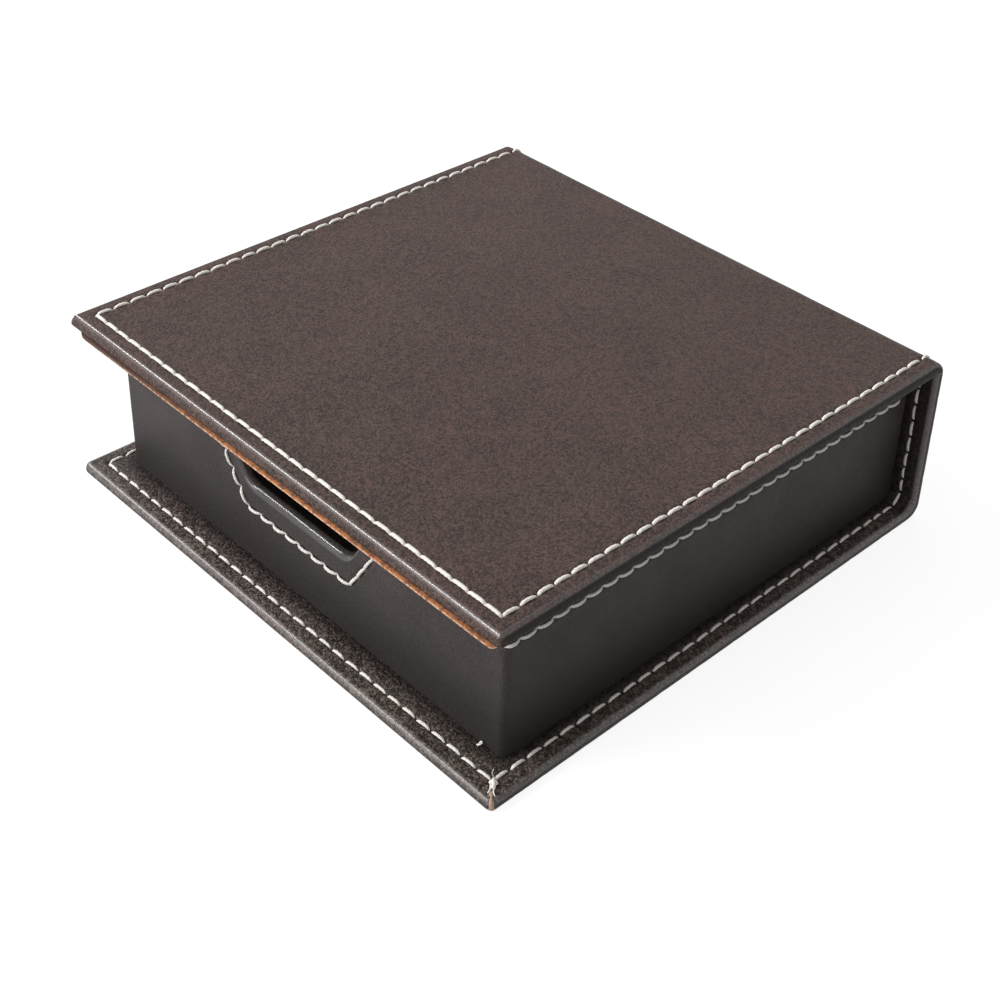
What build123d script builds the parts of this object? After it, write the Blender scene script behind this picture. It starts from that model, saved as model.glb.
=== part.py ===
from build123d import *
import os
from math import atan2, degrees, hypot

# Closed case, in millimetres. X runs along the front edge, Y from the front edge to the spine,
# Z up from the desk. The origin is on the desk, under the middle of the case.
case_width = 125.0
case_depth = 120.0
case_height = 38.0

# Sheets and boards
leather = 0.5
glue_line = 0.02
base_board_thickness = 1.2
spine_board_thickness = 1.2
lid_board_thickness = 1.2
lid_lining_thickness = 0.7
wall_board_thickness = 2.8
wrap_thickness = 0.7
wall_lining_thickness = 0.6
floor_lining_thickness = 1.0
turn_in = 12.0
edge_flat = 0.02

# Case panels
panel_corner_radius = 1.5
lid_setback = 1.0
lid_lining_side_inset = 1.4
lid_lining_corner_radius = 1.0
lid_rest_gap = 0.2
hinge_radius = 2.6
hinge_flat = 1.0
foot_radius = 3.0
foot_inner_radius = 1.0
foot_flat = 1.0

# Note tray
side_ledge = 6.3
front_ledge = 8.5
tray_corner_radius = 1.5
rim_edge_radius = 0.6
rim_stitch_drop = 7.45
rim_turn_in_below_stitch = 3.0

# Thumb notch in the front wall
notch_depth = 14.8
notch_floor_half_width = 14.9
notch_lean = 0.66
notch_corner_radius = 5.0
notch_facing_thickness = 0.6
notch_facing_proud = 0.15

# Stitching
stitch_inset = 3.9
stitch_pitch = 3.9
stitch_length = 3.3
thread_width = 0.7
stitch_slant = 4.0
groove_width = 1.1
groove_depth = 0.3
thread_proud = 0.15
thread_sunk = 0.05
notch_stitch_side_margin = 4.2
notch_stitch_floor_margin = 5.7
foot_stitch_clearance = 2.6
hinge_stitch_half_angle = 28.0

# Heights and faces that follow from the sizes above
base_top = base_board_thickness + 2 * leather
spine_thickness = spine_board_thickness + 2 * leather
lid_cover_thickness = lid_board_thickness + 2 * leather
half_width = case_width / 2
front = -case_depth / 2
back = case_depth / 2
spine_inner = back - spine_thickness
lid_top = case_height - thread_proud
lid_cover_bottom = lid_top - lid_cover_thickness
lid_bottom = lid_cover_bottom - lid_lining_thickness
lid_front = front + lid_setback
hinge_middle_y = back - hinge_radius
hinge_middle_z = lid_top - hinge_radius
lid_back = hinge_middle_y - hinge_flat
spine_top = hinge_middle_z - hinge_flat
base_back = back - foot_radius - foot_flat
rim_top = lid_bottom - lid_rest_gap
tray_half_width = half_width - side_ledge
tray_front = front + front_ledge
tray_wall = wrap_thickness + wall_board_thickness + wall_lining_thickness
well_half_width = tray_half_width - tray_wall
well_front = tray_front + tray_wall
well_back = spine_inner - wall_board_thickness - wall_lining_thickness
wall_board_top = rim_top - wrap_thickness
wall_board_outer_half = tray_half_width - wrap_thickness
wall_board_inner_half = wall_board_outer_half - wall_board_thickness
front_board_outer = tray_front + wrap_thickness
front_board_inner = front_board_outer + wall_board_thickness
rear_board_inner = spine_inner - wall_board_thickness
side_board_middle = (front_board_inner + rear_board_inner) / 2
side_board_length = rear_board_inner - front_board_inner
rim_stitch_height = rim_top - rim_stitch_drop
turn_in_bottom = rim_stitch_height - rim_turn_in_below_stitch
notch_floor = rim_top - notch_depth
floor_top = base_top + floor_lining_thickness
stitch_half_width = half_width - stitch_inset

os.makedirs("parts", exist_ok=True)


def save(piece, name):
    """Label a finished piece and write it under its own name."""
    piece.label = name
    export_step(piece, f"parts/{name}.step")


def span(x_low, x_high, y_low, y_high):
    """A rectangle between two X values and two Y values of the open sketch."""
    with Locations(((x_low + x_high) / 2, (y_low + y_high) / 2)):
        Rectangle(x_high - x_low, y_high - y_low)


def row_length(row):
    """Length of one straight stitch row, given as its two ends."""
    return hypot(row[1][0] - row[0][0], row[1][1] - row[0][1])


def row_angle(row):
    """Direction of one straight stitch row in its sketch."""
    return degrees(atan2(row[1][1] - row[0][1], row[1][0] - row[0][0]))


def row_point(row, share):
    """The point that lies a share of the way along a stitch row."""
    along_x = row[0][0] + share * (row[1][0] - row[0][0])
    along_y = row[0][1] + share * (row[1][1] - row[0][1])
    return along_x, along_y


def draw_grooves(rows):
    """The channels that the thread pulls into the leather."""
    for row in rows:
        with Locations(row_point(row, 0.5)):
            Rectangle(row_length(row) + groove_width, groove_width, rotation=row_angle(row))


def draw_stitches(rows):
    """The stitches of each row, evenly spaced and slightly slanted."""
    for row in rows:
        count = max(1, round(row_length(row) / stitch_pitch))
        for number in range(count):
            with Locations(row_point(row, (number + 0.5) / count)):
                SlotOverall(stitch_length, thread_width, rotation=row_angle(row) + stitch_slant)


def three_sides(half, low, high):
    """Stitch rows down the left side, along the front and up the right side of a panel."""
    return [((-half, high), (-half, low)), ((-half, low), (half, low)), ((half, low), (half, high))]


def both_sides(half, low, high):
    """Stitch rows up the left side and up the right side of the spine."""
    return [((-half, low), (-half, high)), ((half, low), (half, high))]


def bead_radius(thickness):
    """The rolled edge of a panel is a half round as thick as the panel."""
    return thickness / 2 - edge_flat / 2


def notch_half_width(height):
    """Half the width of the thumb notch at a height above the desk."""
    return notch_floor_half_width + notch_lean * (height - notch_floor)


# Stitch rows, each as the two ends of a straight line in its own sketch
lid_rows = three_sides(stitch_half_width, lid_front + stitch_inset, lid_back)
base_rows = three_sides(stitch_half_width, front + stitch_inset, base_back)
spine_rows = both_sides(stitch_half_width, base_top + foot_stitch_clearance, spine_top)
notch_stitch_floor = notch_floor - notch_stitch_floor_margin
notch_stitch_low_half = notch_half_width(notch_stitch_floor) + notch_stitch_side_margin
notch_stitch_high_half = notch_half_width(rim_stitch_height) + notch_stitch_side_margin
notch_stitch_top = (notch_stitch_high_half, rim_stitch_height)
notch_stitch_foot = (notch_stitch_low_half, notch_stitch_floor)


def front_rows(rim_end):
    """Stitch rows along the front rim out to a half width, dipping round the notch."""
    right_points = [notch_stitch_foot, notch_stitch_top, (rim_end, rim_stitch_height)]
    left_points = [(-across, height) for across, height in reversed(right_points)]
    points = left_points + right_points
    return list(zip(points[:-1], points[1:]))


front_rim_rows = front_rows(tray_half_width - tray_corner_radius)
inner_front_rows = front_rows(well_half_width - stitch_pitch / 2)
inner_notch_rows = inner_front_rows[1:-1]
side_rim_rows = [
    (
        (tray_front + tray_corner_radius, rim_stitch_height),
        (spine_inner - stitch_pitch / 2, rim_stitch_height),
    )
]
inner_side_rows = [
    (
        (well_front + stitch_pitch / 2, rim_stitch_height),
        (well_back - stitch_pitch / 2, rim_stitch_height),
    )
]

# Sketch planes whose Z points out of the face that is sewn
lid_top_face = Plane.XY.offset(lid_top)
lid_under_face = Plane(origin=(0, 0, lid_bottom), x_dir=(1, 0, 0), z_dir=(0, 0, -1))
base_top_face = Plane.XY.offset(base_top)
base_under_face = Plane(origin=(0, 0, 0), x_dir=(1, 0, 0), z_dir=(0, 0, -1))
spine_inner_face = Plane(origin=(0, spine_inner, 0), x_dir=(1, 0, 0), z_dir=(0, -1, 0))
spine_outer_face = Plane(origin=(0, back, 0), x_dir=(-1, 0, 0), z_dir=(0, 1, 0))
tray_front_face = Plane(origin=(0, tray_front, 0), x_dir=(1, 0, 0), z_dir=(0, -1, 0))
tray_side_face = Plane(origin=(tray_half_width, 0, 0), x_dir=(0, 1, 0), z_dir=(1, 0, 0))
well_front_face = Plane(origin=(0, well_front, 0), x_dir=(-1, 0, 0), z_dir=(0, 1, 0))
well_side_face = Plane(origin=(well_half_width, 0, 0), x_dir=(0, -1, 0), z_dir=(-1, 0, 0))


def flip_rows(rows):
    """The same rows seen from the other side of the sheet, where X runs the other way."""
    return [((-start[0], start[1]), (-end[0], end[1])) for start, end in rows]


def turn_rows(rows):
    """The same rows on a face that looks down, where Y runs the other way."""
    return [((start[0], -start[1]), (end[0], -end[1])) for start, end in rows]


# Lid: a board wrapped in leather with a rolled edge on three sides
with BuildPart() as lid_cover:
    with BuildSketch(Plane.XY.offset(lid_cover_bottom)):
        span(-half_width, half_width, lid_front, lid_back)
    extrude(amount=lid_cover_thickness)
    fillet(lid_cover.edges().filter_by(Axis.Z).group_by(Axis.Y)[0], panel_corner_radius)
    lid_rolled_edges = (
        lid_cover.edges().group_by(Axis.Z)[0] + lid_cover.edges().group_by(Axis.Z)[-1]
    ).filter_by(lambda edge: edge.center().Y < lid_back - hinge_flat / 2)
    fillet(lid_rolled_edges, bead_radius(lid_cover_thickness))
    with BuildSketch(Plane.XY.offset(lid_cover_bottom + leather)):
        span(-half_width + leather, half_width - leather, lid_front + leather, lid_back)
    extrude(amount=lid_board_thickness, mode=Mode.SUBTRACT)
    with BuildSketch(Plane.XY.offset(lid_cover_bottom)):
        span(-half_width + turn_in, half_width - turn_in, lid_front + turn_in, lid_back)
    extrude(amount=leather, mode=Mode.SUBTRACT)
    with BuildSketch(lid_top_face):
        draw_grooves(lid_rows)
    extrude(amount=-groove_depth, mode=Mode.SUBTRACT)
save(lid_cover.part, "lid_cover")

with BuildPart() as lid_board:
    with BuildSketch(Plane.XY.offset(lid_cover_bottom + leather + glue_line)):
        span(
            -half_width + 2 * leather,
            half_width - 2 * leather,
            lid_front + 2 * leather,
            lid_back - glue_line,
        )
    extrude(amount=lid_board_thickness - 2 * glue_line)
    with BuildSketch(Plane.XY.offset(lid_cover_bottom + glue_line)):
        span(
            -half_width + turn_in + glue_line,
            half_width - turn_in - glue_line,
            lid_front + turn_in + glue_line,
            lid_back - glue_line,
        )
    extrude(amount=leather)
save(lid_board.part, "lid_board")

with BuildPart() as lid_lining:
    with BuildSketch(Plane.XY.offset(lid_bottom)):
        span(
            -half_width + lid_lining_side_inset,
            half_width - lid_lining_side_inset,
            lid_front + edge_flat,
            lid_back,
        )
    extrude(amount=lid_lining_thickness - glue_line)
    fillet(lid_lining.edges().filter_by(Axis.Z).group_by(Axis.Y)[0], lid_lining_corner_radius)
    with BuildSketch(lid_under_face):
        draw_grooves(turn_rows(lid_rows))
    extrude(amount=-groove_depth, mode=Mode.SUBTRACT)
save(lid_lining.part, "lid_lining")

with BuildPart() as lid_thread_upper:
    with BuildSketch(lid_top_face.offset(-groove_depth)):
        draw_stitches(lid_rows)
    extrude(amount=groove_depth + thread_proud)
save(lid_thread_upper.part, "lid_thread_upper")

with BuildPart() as lid_thread_lower:
    with BuildSketch(lid_under_face.offset(-groove_depth)):
        draw_stitches(turn_rows(lid_rows))
    extrude(amount=groove_depth - thread_sunk)
save(lid_thread_lower.part, "lid_thread_lower")

# Base: a board wrapped in leather with a rolled edge on three sides
with BuildPart() as base_cover:
    with BuildSketch(Plane.XY):
        span(-half_width, half_width, front, base_back)
    extrude(amount=base_top)
    fillet(base_cover.edges().filter_by(Axis.Z).group_by(Axis.Y)[0], panel_corner_radius)
    base_rolled_edges = (
        base_cover.edges().group_by(Axis.Z)[0] + base_cover.edges().group_by(Axis.Z)[-1]
    ).filter_by(lambda edge: edge.center().Y < base_back - foot_flat / 2)
    fillet(base_rolled_edges, bead_radius(base_top))
    with BuildSketch(Plane.XY.offset(leather)):
        span(-half_width + leather, half_width - leather, front + leather, base_back)
    extrude(amount=base_board_thickness, mode=Mode.SUBTRACT)
    with BuildSketch(Plane.XY.offset(base_top - leather)):
        span(-half_width + turn_in, half_width - turn_in, front + turn_in, base_back)
    extrude(amount=leather, mode=Mode.SUBTRACT)
    with BuildSketch(base_top_face):
        draw_grooves(base_rows)
    extrude(amount=-groove_depth, mode=Mode.SUBTRACT)
    with BuildSketch(base_under_face):
        draw_grooves(turn_rows(base_rows))
    extrude(amount=-groove_depth, mode=Mode.SUBTRACT)
save(base_cover.part, "base_cover")

with BuildPart() as base_board:
    with BuildSketch(Plane.XY.offset(leather + glue_line)):
        span(
            -half_width + 2 * leather,
            half_width - 2 * leather,
            front + 2 * leather,
            base_back - glue_line,
        )
    extrude(amount=base_board_thickness - 2 * glue_line)
    with BuildSketch(Plane.XY.offset(base_top - leather - glue_line)):
        span(
            -half_width + turn_in + glue_line,
            half_width - turn_in - glue_line,
            front + turn_in + glue_line,
            base_back - glue_line,
        )
    extrude(amount=leather)
save(base_board.part, "base_board")

with BuildPart() as base_thread_upper:
    with BuildSketch(base_top_face.offset(-groove_depth)):
        draw_stitches(base_rows)
    extrude(amount=groove_depth + thread_proud)
save(base_thread_upper.part, "base_thread_upper")

with BuildPart() as base_thread_lower:
    with BuildSketch(base_under_face.offset(-groove_depth)):
        draw_stitches(turn_rows(base_rows))
    extrude(amount=groove_depth - thread_sunk)
save(base_thread_lower.part, "base_thread_lower")

# Spine: it rises from the base in a round turn and ends just under the hinge
with BuildPart() as spine_cover:
    with BuildSketch(Plane.YZ.offset(-half_width)):
        with BuildLine():
            spine_foot = Line((base_back, base_top), (base_back, 0))
            spine_sole = Line(spine_foot @ 1, (back - foot_radius, 0))
            spine_turn = RadiusArc(spine_sole @ 1, (back, foot_radius), -foot_radius)
            spine_back = Line(spine_turn @ 1, (back, spine_top))
            spine_end = Line(spine_back @ 1, (spine_inner, spine_top))
            spine_face = Line(spine_end @ 1, (spine_inner, base_top + foot_inner_radius))
            spine_inner_turn = RadiusArc(
                spine_face @ 1,
                (spine_inner - foot_inner_radius, base_top),
                foot_inner_radius,
            )
            Line(spine_inner_turn @ 1, spine_foot @ 0)
        make_face()
    extrude(amount=case_width)
    spine_end_edges = (
        spine_cover.edges().group_by(Axis.X)[0] + spine_cover.edges().group_by(Axis.X)[-1]
    ).filter_by(
        lambda edge: edge.center().Y > base_back + glue_line
        and edge.center().Z < spine_top - glue_line
    )
    fillet(spine_end_edges, bead_radius(base_top))
    with BuildSketch(Plane.YZ.offset(-half_width + leather)):
        span(spine_inner + leather, back - leather, base_top + foot_inner_radius, spine_top)
    extrude(amount=case_width - 2 * leather, mode=Mode.SUBTRACT)
    with BuildSketch(Plane.YZ.offset(-half_width + turn_in)):
        span(spine_inner, spine_inner + leather, base_top + foot_inner_radius, spine_top)
    extrude(amount=case_width - 2 * turn_in, mode=Mode.SUBTRACT)
    with BuildSketch(spine_inner_face):
        draw_grooves(spine_rows)
    extrude(amount=-groove_depth, mode=Mode.SUBTRACT)
    with BuildSketch(spine_outer_face):
        draw_grooves(flip_rows(spine_rows))
    extrude(amount=-groove_depth, mode=Mode.SUBTRACT)
save(spine_cover.part, "spine_cover")

with BuildPart() as spine_board:
    with BuildSketch(Plane.YZ.offset(-half_width + 2 * leather)):
        span(
            spine_inner + leather + glue_line,
            back - leather - glue_line,
            base_top + foot_inner_radius + glue_line,
            spine_top - glue_line,
        )
    extrude(amount=case_width - 4 * leather)
    with BuildSketch(Plane.YZ.offset(-half_width + turn_in + glue_line)):
        span(
            spine_inner + glue_line,
            spine_inner + 2 * leather,
            base_top + foot_inner_radius + glue_line,
            spine_top - glue_line,
        )
    extrude(amount=case_width - 2 * turn_in - 2 * glue_line)
save(spine_board.part, "spine_board")

with BuildPart() as spine_thread_inner:
    with BuildSketch(spine_inner_face.offset(-groove_depth)):
        draw_stitches(spine_rows)
    extrude(amount=groove_depth + thread_proud)
save(spine_thread_inner.part, "spine_thread_inner")

with BuildPart() as spine_thread_outer:
    with BuildSketch(spine_outer_face.offset(-groove_depth)):
        draw_stitches(flip_rows(spine_rows))
    extrude(amount=groove_depth - thread_sunk)
save(spine_thread_outer.part, "spine_thread_outer")

# Living hinge: the doubled leather that bends between the lid and the spine
with BuildPart() as hinge_leather:
    with BuildSketch(Plane.YZ.offset(-half_width)):
        with BuildLine():
            hinge_lid_end = Line((lid_back, lid_cover_bottom), (lid_back, lid_top))
            hinge_roof = Line(hinge_lid_end @ 1, (hinge_middle_y, lid_top))
            hinge_turn = RadiusArc(hinge_roof @ 1, (back, hinge_middle_z), hinge_radius)
            hinge_back = Line(hinge_turn @ 1, (back, spine_top))
            hinge_spine_end = Line(hinge_back @ 1, (spine_inner, spine_top))
            hinge_face = Line(hinge_spine_end @ 1, (spine_inner, hinge_middle_z))
            hinge_inner_turn = RadiusArc(
                hinge_face @ 1,
                (hinge_middle_y, lid_cover_bottom),
                -(hinge_radius - lid_cover_thickness),
            )
            Line(hinge_inner_turn @ 1, hinge_lid_end @ 0)
        make_face()
    extrude(amount=case_width)
    hinge_end_edges = (
        hinge_leather.edges().group_by(Axis.X)[0] + hinge_leather.edges().group_by(Axis.X)[-1]
    ).filter_by(
        lambda edge: edge.center().Y > lid_back + glue_line
        and edge.center().Z > spine_top + glue_line
    )
    fillet(hinge_end_edges, bead_radius(base_top))
    with BuildSketch(Plane.YZ.offset(-stitch_half_width - groove_width / 2)):
        with Locations((hinge_middle_y, hinge_middle_z)):
            Circle(hinge_radius)
            Circle(hinge_radius - groove_depth, mode=Mode.SUBTRACT)
    extrude(amount=groove_width, mode=Mode.SUBTRACT)
    with BuildSketch(Plane.YZ.offset(stitch_half_width - groove_width / 2)):
        with Locations((hinge_middle_y, hinge_middle_z)):
            Circle(hinge_radius)
            Circle(hinge_radius - groove_depth, mode=Mode.SUBTRACT)
    extrude(amount=groove_width, mode=Mode.SUBTRACT)
save(hinge_leather.part, "hinge_leather")

with BuildPart() as hinge_thread:
    for side in (-1, 1):
        with BuildSketch(Plane.YZ.offset(side * stitch_half_width - thread_width / 2)):
            with BuildLine():
                thread_low = CenterArc(
                    (hinge_middle_y, hinge_middle_z),
                    hinge_radius - groove_depth,
                    45 - hinge_stitch_half_angle,
                    2 * hinge_stitch_half_angle,
                )
                thread_high = CenterArc(
                    (hinge_middle_y, hinge_middle_z),
                    hinge_radius - thread_sunk,
                    45 - hinge_stitch_half_angle,
                    2 * hinge_stitch_half_angle,
                )
                Line(thread_low @ 0, thread_high @ 0)
                Line(thread_low @ 1, thread_high @ 1)
            make_face()
        extrude(amount=thread_width)
save(hinge_thread.part, "hinge_thread")

# Note tray: four boards that stand on the base and against the spine


def notch_points(margin, high):
    """Corners of the thumb notch, wider by a margin, up to a height above the desk."""
    low = notch_floor - margin
    lean_margin = margin * hypot(1, notch_lean)
    low_half = notch_half_width(low) + lean_margin
    high_half = notch_half_width(high) + lean_margin
    return [(-high_half, high), (-low_half, low), (low_half, low), (high_half, high)]


with BuildSketch(tray_front_face) as notch_cut:
    with BuildLine():
        cut_sides = FilletPolyline(
            *notch_points(notch_facing_thickness, case_height),
            radius=notch_corner_radius + notch_facing_thickness,
        )
        Line(cut_sides @ 1, cut_sides @ 0)
    make_face()

with BuildPart() as tray_front_board:
    with BuildSketch(Plane.XY.offset(base_top)):
        span(
            -wall_board_outer_half + glue_line,
            wall_board_outer_half - glue_line,
            front_board_outer + glue_line,
            front_board_inner - glue_line,
        )
    extrude(amount=wall_board_top - base_top - glue_line)
    extrude(notch_cut.sketch, amount=-2 * tray_wall, mode=Mode.SUBTRACT)
save(tray_front_board.part, "tray_front_board")

with BuildPart() as tray_rear_board:
    with BuildSketch(Plane.XY.offset(base_top)):
        span(
            -wall_board_outer_half + glue_line,
            wall_board_outer_half - glue_line,
            rear_board_inner + glue_line,
            spine_inner - glue_line,
        )
    extrude(amount=wall_board_top - base_top - glue_line)
    rear_foot_edge = tray_rear_board.edges().group_by(Axis.Z)[0].group_by(Axis.Y)[-1]
    chamfer(rear_foot_edge, foot_inner_radius + glue_line)
save(tray_rear_board.part, "tray_rear_board")

for side_name, side in (("left", -1), ("right", 1)):
    with BuildPart() as tray_side_board:
        with BuildSketch(Plane.XY.offset(base_top)):
            with Locations((side * (wall_board_outer_half + wall_board_inner_half) / 2, side_board_middle)):
                Rectangle(wall_board_thickness - 2 * glue_line, side_board_length - 2 * glue_line)
        extrude(amount=wall_board_top - base_top - glue_line)
    save(tray_side_board.part, f"tray_{side_name}_board")

# The tray's leather goes up the outside, over the rim and down inside to the end of its turn-in
with BuildPart() as tray_wrap:
    with BuildSketch(Plane.XY.offset(base_top)):
        span(-tray_half_width, tray_half_width, tray_front, spine_inner)
    extrude(amount=rim_top - base_top)
    fillet(tray_wrap.edges().filter_by(Axis.Z).group_by(Axis.Y)[0], tray_corner_radius)
    with BuildSketch(Plane.XY.offset(base_top)):
        span(-well_half_width, well_half_width, well_front, well_back)
    extrude(amount=rim_top - base_top, mode=Mode.SUBTRACT)
    rim_edges = tray_wrap.edges().group_by(Axis.Z)[-1]
    fillet(
        rim_edges.filter_by(lambda edge: edge.center().Y < spine_inner - glue_line),
        rim_edge_radius,
    )
    with BuildSketch(Plane.XY.offset(base_top)):
        span(-wall_board_outer_half, wall_board_outer_half, front_board_outer, spine_inner)
    extrude(amount=turn_in_bottom - base_top, mode=Mode.SUBTRACT)
    with BuildSketch(Plane.XY.offset(turn_in_bottom)):
        span(-wall_board_outer_half, wall_board_outer_half, front_board_outer, spine_inner)
        with Locations((0, side_board_middle)):
            Rectangle(2 * wall_board_inner_half, side_board_length, mode=Mode.SUBTRACT)
    extrude(amount=wall_board_top - turn_in_bottom, mode=Mode.SUBTRACT)
    extrude(notch_cut.sketch, amount=-2 * tray_wall, mode=Mode.SUBTRACT)
    wrap_foot_edges = tray_wrap.edges().filter_by(Axis.X).group_by(Axis.Z)[0].group_by(Axis.Y)[-1]
    chamfer(wrap_foot_edges, foot_inner_radius + glue_line)
    with BuildSketch(tray_front_face):
        draw_grooves(front_rim_rows)
    extrude(amount=-groove_depth, mode=Mode.SUBTRACT)
    with BuildSketch(well_front_face):
        draw_grooves(flip_rows(inner_front_rows))
    extrude(amount=-groove_depth, mode=Mode.SUBTRACT)
    with BuildSketch(tray_side_face):
        draw_grooves(side_rim_rows)
    outer_side_groove = extrude(amount=-groove_depth, mode=Mode.SUBTRACT)
    mirror(outer_side_groove, about=Plane.YZ, mode=Mode.SUBTRACT)
    with BuildSketch(well_side_face):
        draw_grooves(flip_rows(inner_side_rows))
    inner_side_groove = extrude(amount=-groove_depth, mode=Mode.SUBTRACT)
    mirror(inner_side_groove, about=Plane.YZ, mode=Mode.SUBTRACT)
save(tray_wrap.part, "tray_wrap")

# Leather facing round the cut edge of the notch, a little proud of the wall on both sides
with BuildPart() as notch_facing:
    with BuildSketch(tray_front_face.offset(notch_facing_proud)):
        with BuildLine():
            facing_outside = FilletPolyline(
                *notch_points(notch_facing_thickness - glue_line, rim_top),
                radius=notch_corner_radius + notch_facing_thickness - glue_line,
            )
            Line(facing_outside @ 1, facing_outside @ 0)
        make_face()
        with BuildLine():
            facing_inside = FilletPolyline(*notch_points(0, rim_top), radius=notch_corner_radius)
            Line(facing_inside @ 1, facing_inside @ 0)
        make_face(mode=Mode.SUBTRACT)
    extrude(amount=-(tray_wall + 2 * notch_facing_proud))
save(notch_facing.part, "notch_facing")

# Lining inside the tray
with BuildPart() as tray_floor_lining:
    with BuildSketch(Plane.XY.offset(base_top)):
        with Locations((0, side_board_middle)):
            Rectangle(2 * wall_board_inner_half, side_board_length)
    extrude(amount=floor_lining_thickness - glue_line)
save(tray_floor_lining.part, "tray_floor_lining")

with BuildPart() as tray_front_lining:
    with BuildSketch(Plane.XY.offset(floor_top)):
        span(
            -wall_board_inner_half,
            wall_board_inner_half,
            front_board_inner + glue_line,
            well_front,
        )
    extrude(amount=turn_in_bottom - floor_top - glue_line)
    extrude(notch_cut.sketch, amount=-2 * tray_wall, mode=Mode.SUBTRACT)
    with BuildSketch(well_front_face):
        draw_grooves(flip_rows(inner_notch_rows))
    extrude(amount=-groove_depth, mode=Mode.SUBTRACT)
save(tray_front_lining.part, "tray_front_lining")

with BuildPart() as tray_rear_lining:
    with BuildSketch(Plane.XY.offset(floor_top)):
        span(-wall_board_inner_half, wall_board_inner_half, well_back, rear_board_inner - glue_line)
    extrude(amount=turn_in_bottom - floor_top - glue_line)
save(tray_rear_lining.part, "tray_rear_lining")

for side_name, side in (("left", -1), ("right", 1)):
    with BuildPart() as tray_side_lining:
        with BuildSketch(Plane.XY.offset(floor_top)):
            with Locations(
                (side * (wall_board_inner_half + well_half_width) / 2, (well_front + well_back) / 2)
            ):
                Rectangle(
                    wall_lining_thickness - 2 * glue_line,
                    well_back - well_front - 2 * glue_line,
                )
        extrude(amount=turn_in_bottom - floor_top - glue_line)
    save(tray_side_lining.part, f"tray_{side_name}_lining")

# Thread of the tray: along the rim and round the notch, outside and inside
with BuildPart() as tray_thread_outer:
    with BuildSketch(tray_front_face.offset(-groove_depth)):
        draw_stitches(front_rim_rows)
    extrude(amount=groove_depth + thread_proud)
    with BuildSketch(tray_side_face.offset(-groove_depth)):
        draw_stitches(side_rim_rows)
    outer_side_stitches = extrude(amount=groove_depth + thread_proud)
    mirror(outer_side_stitches, about=Plane.YZ)
save(tray_thread_outer.part, "tray_thread_outer")

with BuildPart() as tray_thread_inner:
    with BuildSketch(well_front_face.offset(-groove_depth)):
        draw_stitches(flip_rows(inner_front_rows))
    extrude(amount=groove_depth - thread_sunk)
    with BuildSketch(well_side_face.offset(-groove_depth)):
        draw_stitches(flip_rows(inner_side_rows))
    inner_side_stitches = extrude(amount=groove_depth - thread_sunk)
    mirror(inner_side_stitches, about=Plane.YZ)
save(tray_thread_inner.part, "tray_thread_inner")
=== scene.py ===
import math
import random

import bmesh
import bpy
import numpy as np
from bpy.props import FloatProperty, FloatVectorProperty, IntProperty, PointerProperty
from mathutils import Matrix, Vector


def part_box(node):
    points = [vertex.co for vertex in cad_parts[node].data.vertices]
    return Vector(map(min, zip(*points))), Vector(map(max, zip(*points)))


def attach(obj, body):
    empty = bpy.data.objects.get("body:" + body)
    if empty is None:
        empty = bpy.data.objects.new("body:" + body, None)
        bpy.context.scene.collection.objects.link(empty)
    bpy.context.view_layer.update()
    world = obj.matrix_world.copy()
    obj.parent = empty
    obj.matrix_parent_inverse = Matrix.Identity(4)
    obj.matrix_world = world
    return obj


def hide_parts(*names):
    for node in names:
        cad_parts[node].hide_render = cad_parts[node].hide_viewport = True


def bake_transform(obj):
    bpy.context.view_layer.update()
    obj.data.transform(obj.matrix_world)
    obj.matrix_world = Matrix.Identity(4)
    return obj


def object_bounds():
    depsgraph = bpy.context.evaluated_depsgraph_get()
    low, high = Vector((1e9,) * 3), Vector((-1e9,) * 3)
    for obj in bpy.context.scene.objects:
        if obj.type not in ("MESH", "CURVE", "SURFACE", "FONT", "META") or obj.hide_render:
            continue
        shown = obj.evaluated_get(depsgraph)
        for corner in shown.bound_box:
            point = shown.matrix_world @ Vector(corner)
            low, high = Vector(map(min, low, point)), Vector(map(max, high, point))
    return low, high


bl_info = {
    "name": "Stitched Note Box",
    "version": (1, 0, 0),
    "blender": (4, 5, 0),
    "location": "3D View > Sidebar > Note Box",
    "description": "Leather, linings, thread and stage of a stitched note box",
    "category": "Object",
}

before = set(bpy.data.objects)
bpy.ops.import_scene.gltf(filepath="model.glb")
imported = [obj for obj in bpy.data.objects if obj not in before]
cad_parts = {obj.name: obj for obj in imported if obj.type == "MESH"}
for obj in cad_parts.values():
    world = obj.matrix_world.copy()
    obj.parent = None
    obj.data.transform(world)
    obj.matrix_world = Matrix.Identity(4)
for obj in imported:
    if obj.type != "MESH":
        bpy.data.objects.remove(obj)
CAD_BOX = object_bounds()

MM = 0.001

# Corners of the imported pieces, in millimetres
BASE_LOW, BASE_HIGH = (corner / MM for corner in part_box("base_cover"))
LID_LOW, LID_HIGH = (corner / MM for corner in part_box("lid_cover"))
SPINE_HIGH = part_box("spine_cover")[1] / MM
LINING_LOW, LINING_HIGH = (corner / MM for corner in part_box("lid_lining"))
TRAY_LOW, TRAY_HIGH = (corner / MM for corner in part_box("tray_wrap"))
WELL_LOW, WELL_HIGH = (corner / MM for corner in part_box("tray_floor_lining"))


def length_size(name, description, millimetres):
    """A length that a user may change, shown in the scene's units."""
    return FloatProperty(
        name=name,
        description=description,
        default=millimetres * MM,
        min=0.0,
        precision=5,
        unit="LENGTH",
        subtype="DISTANCE",
    )


def paint(name, description, colour):
    """A colour that a user may change, in linear values."""
    return FloatVectorProperty(
        name=name,
        description=description,
        default=colour,
        size=3,
        min=0.0,
        max=1.0,
        subtype="COLOR",
    )


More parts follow.
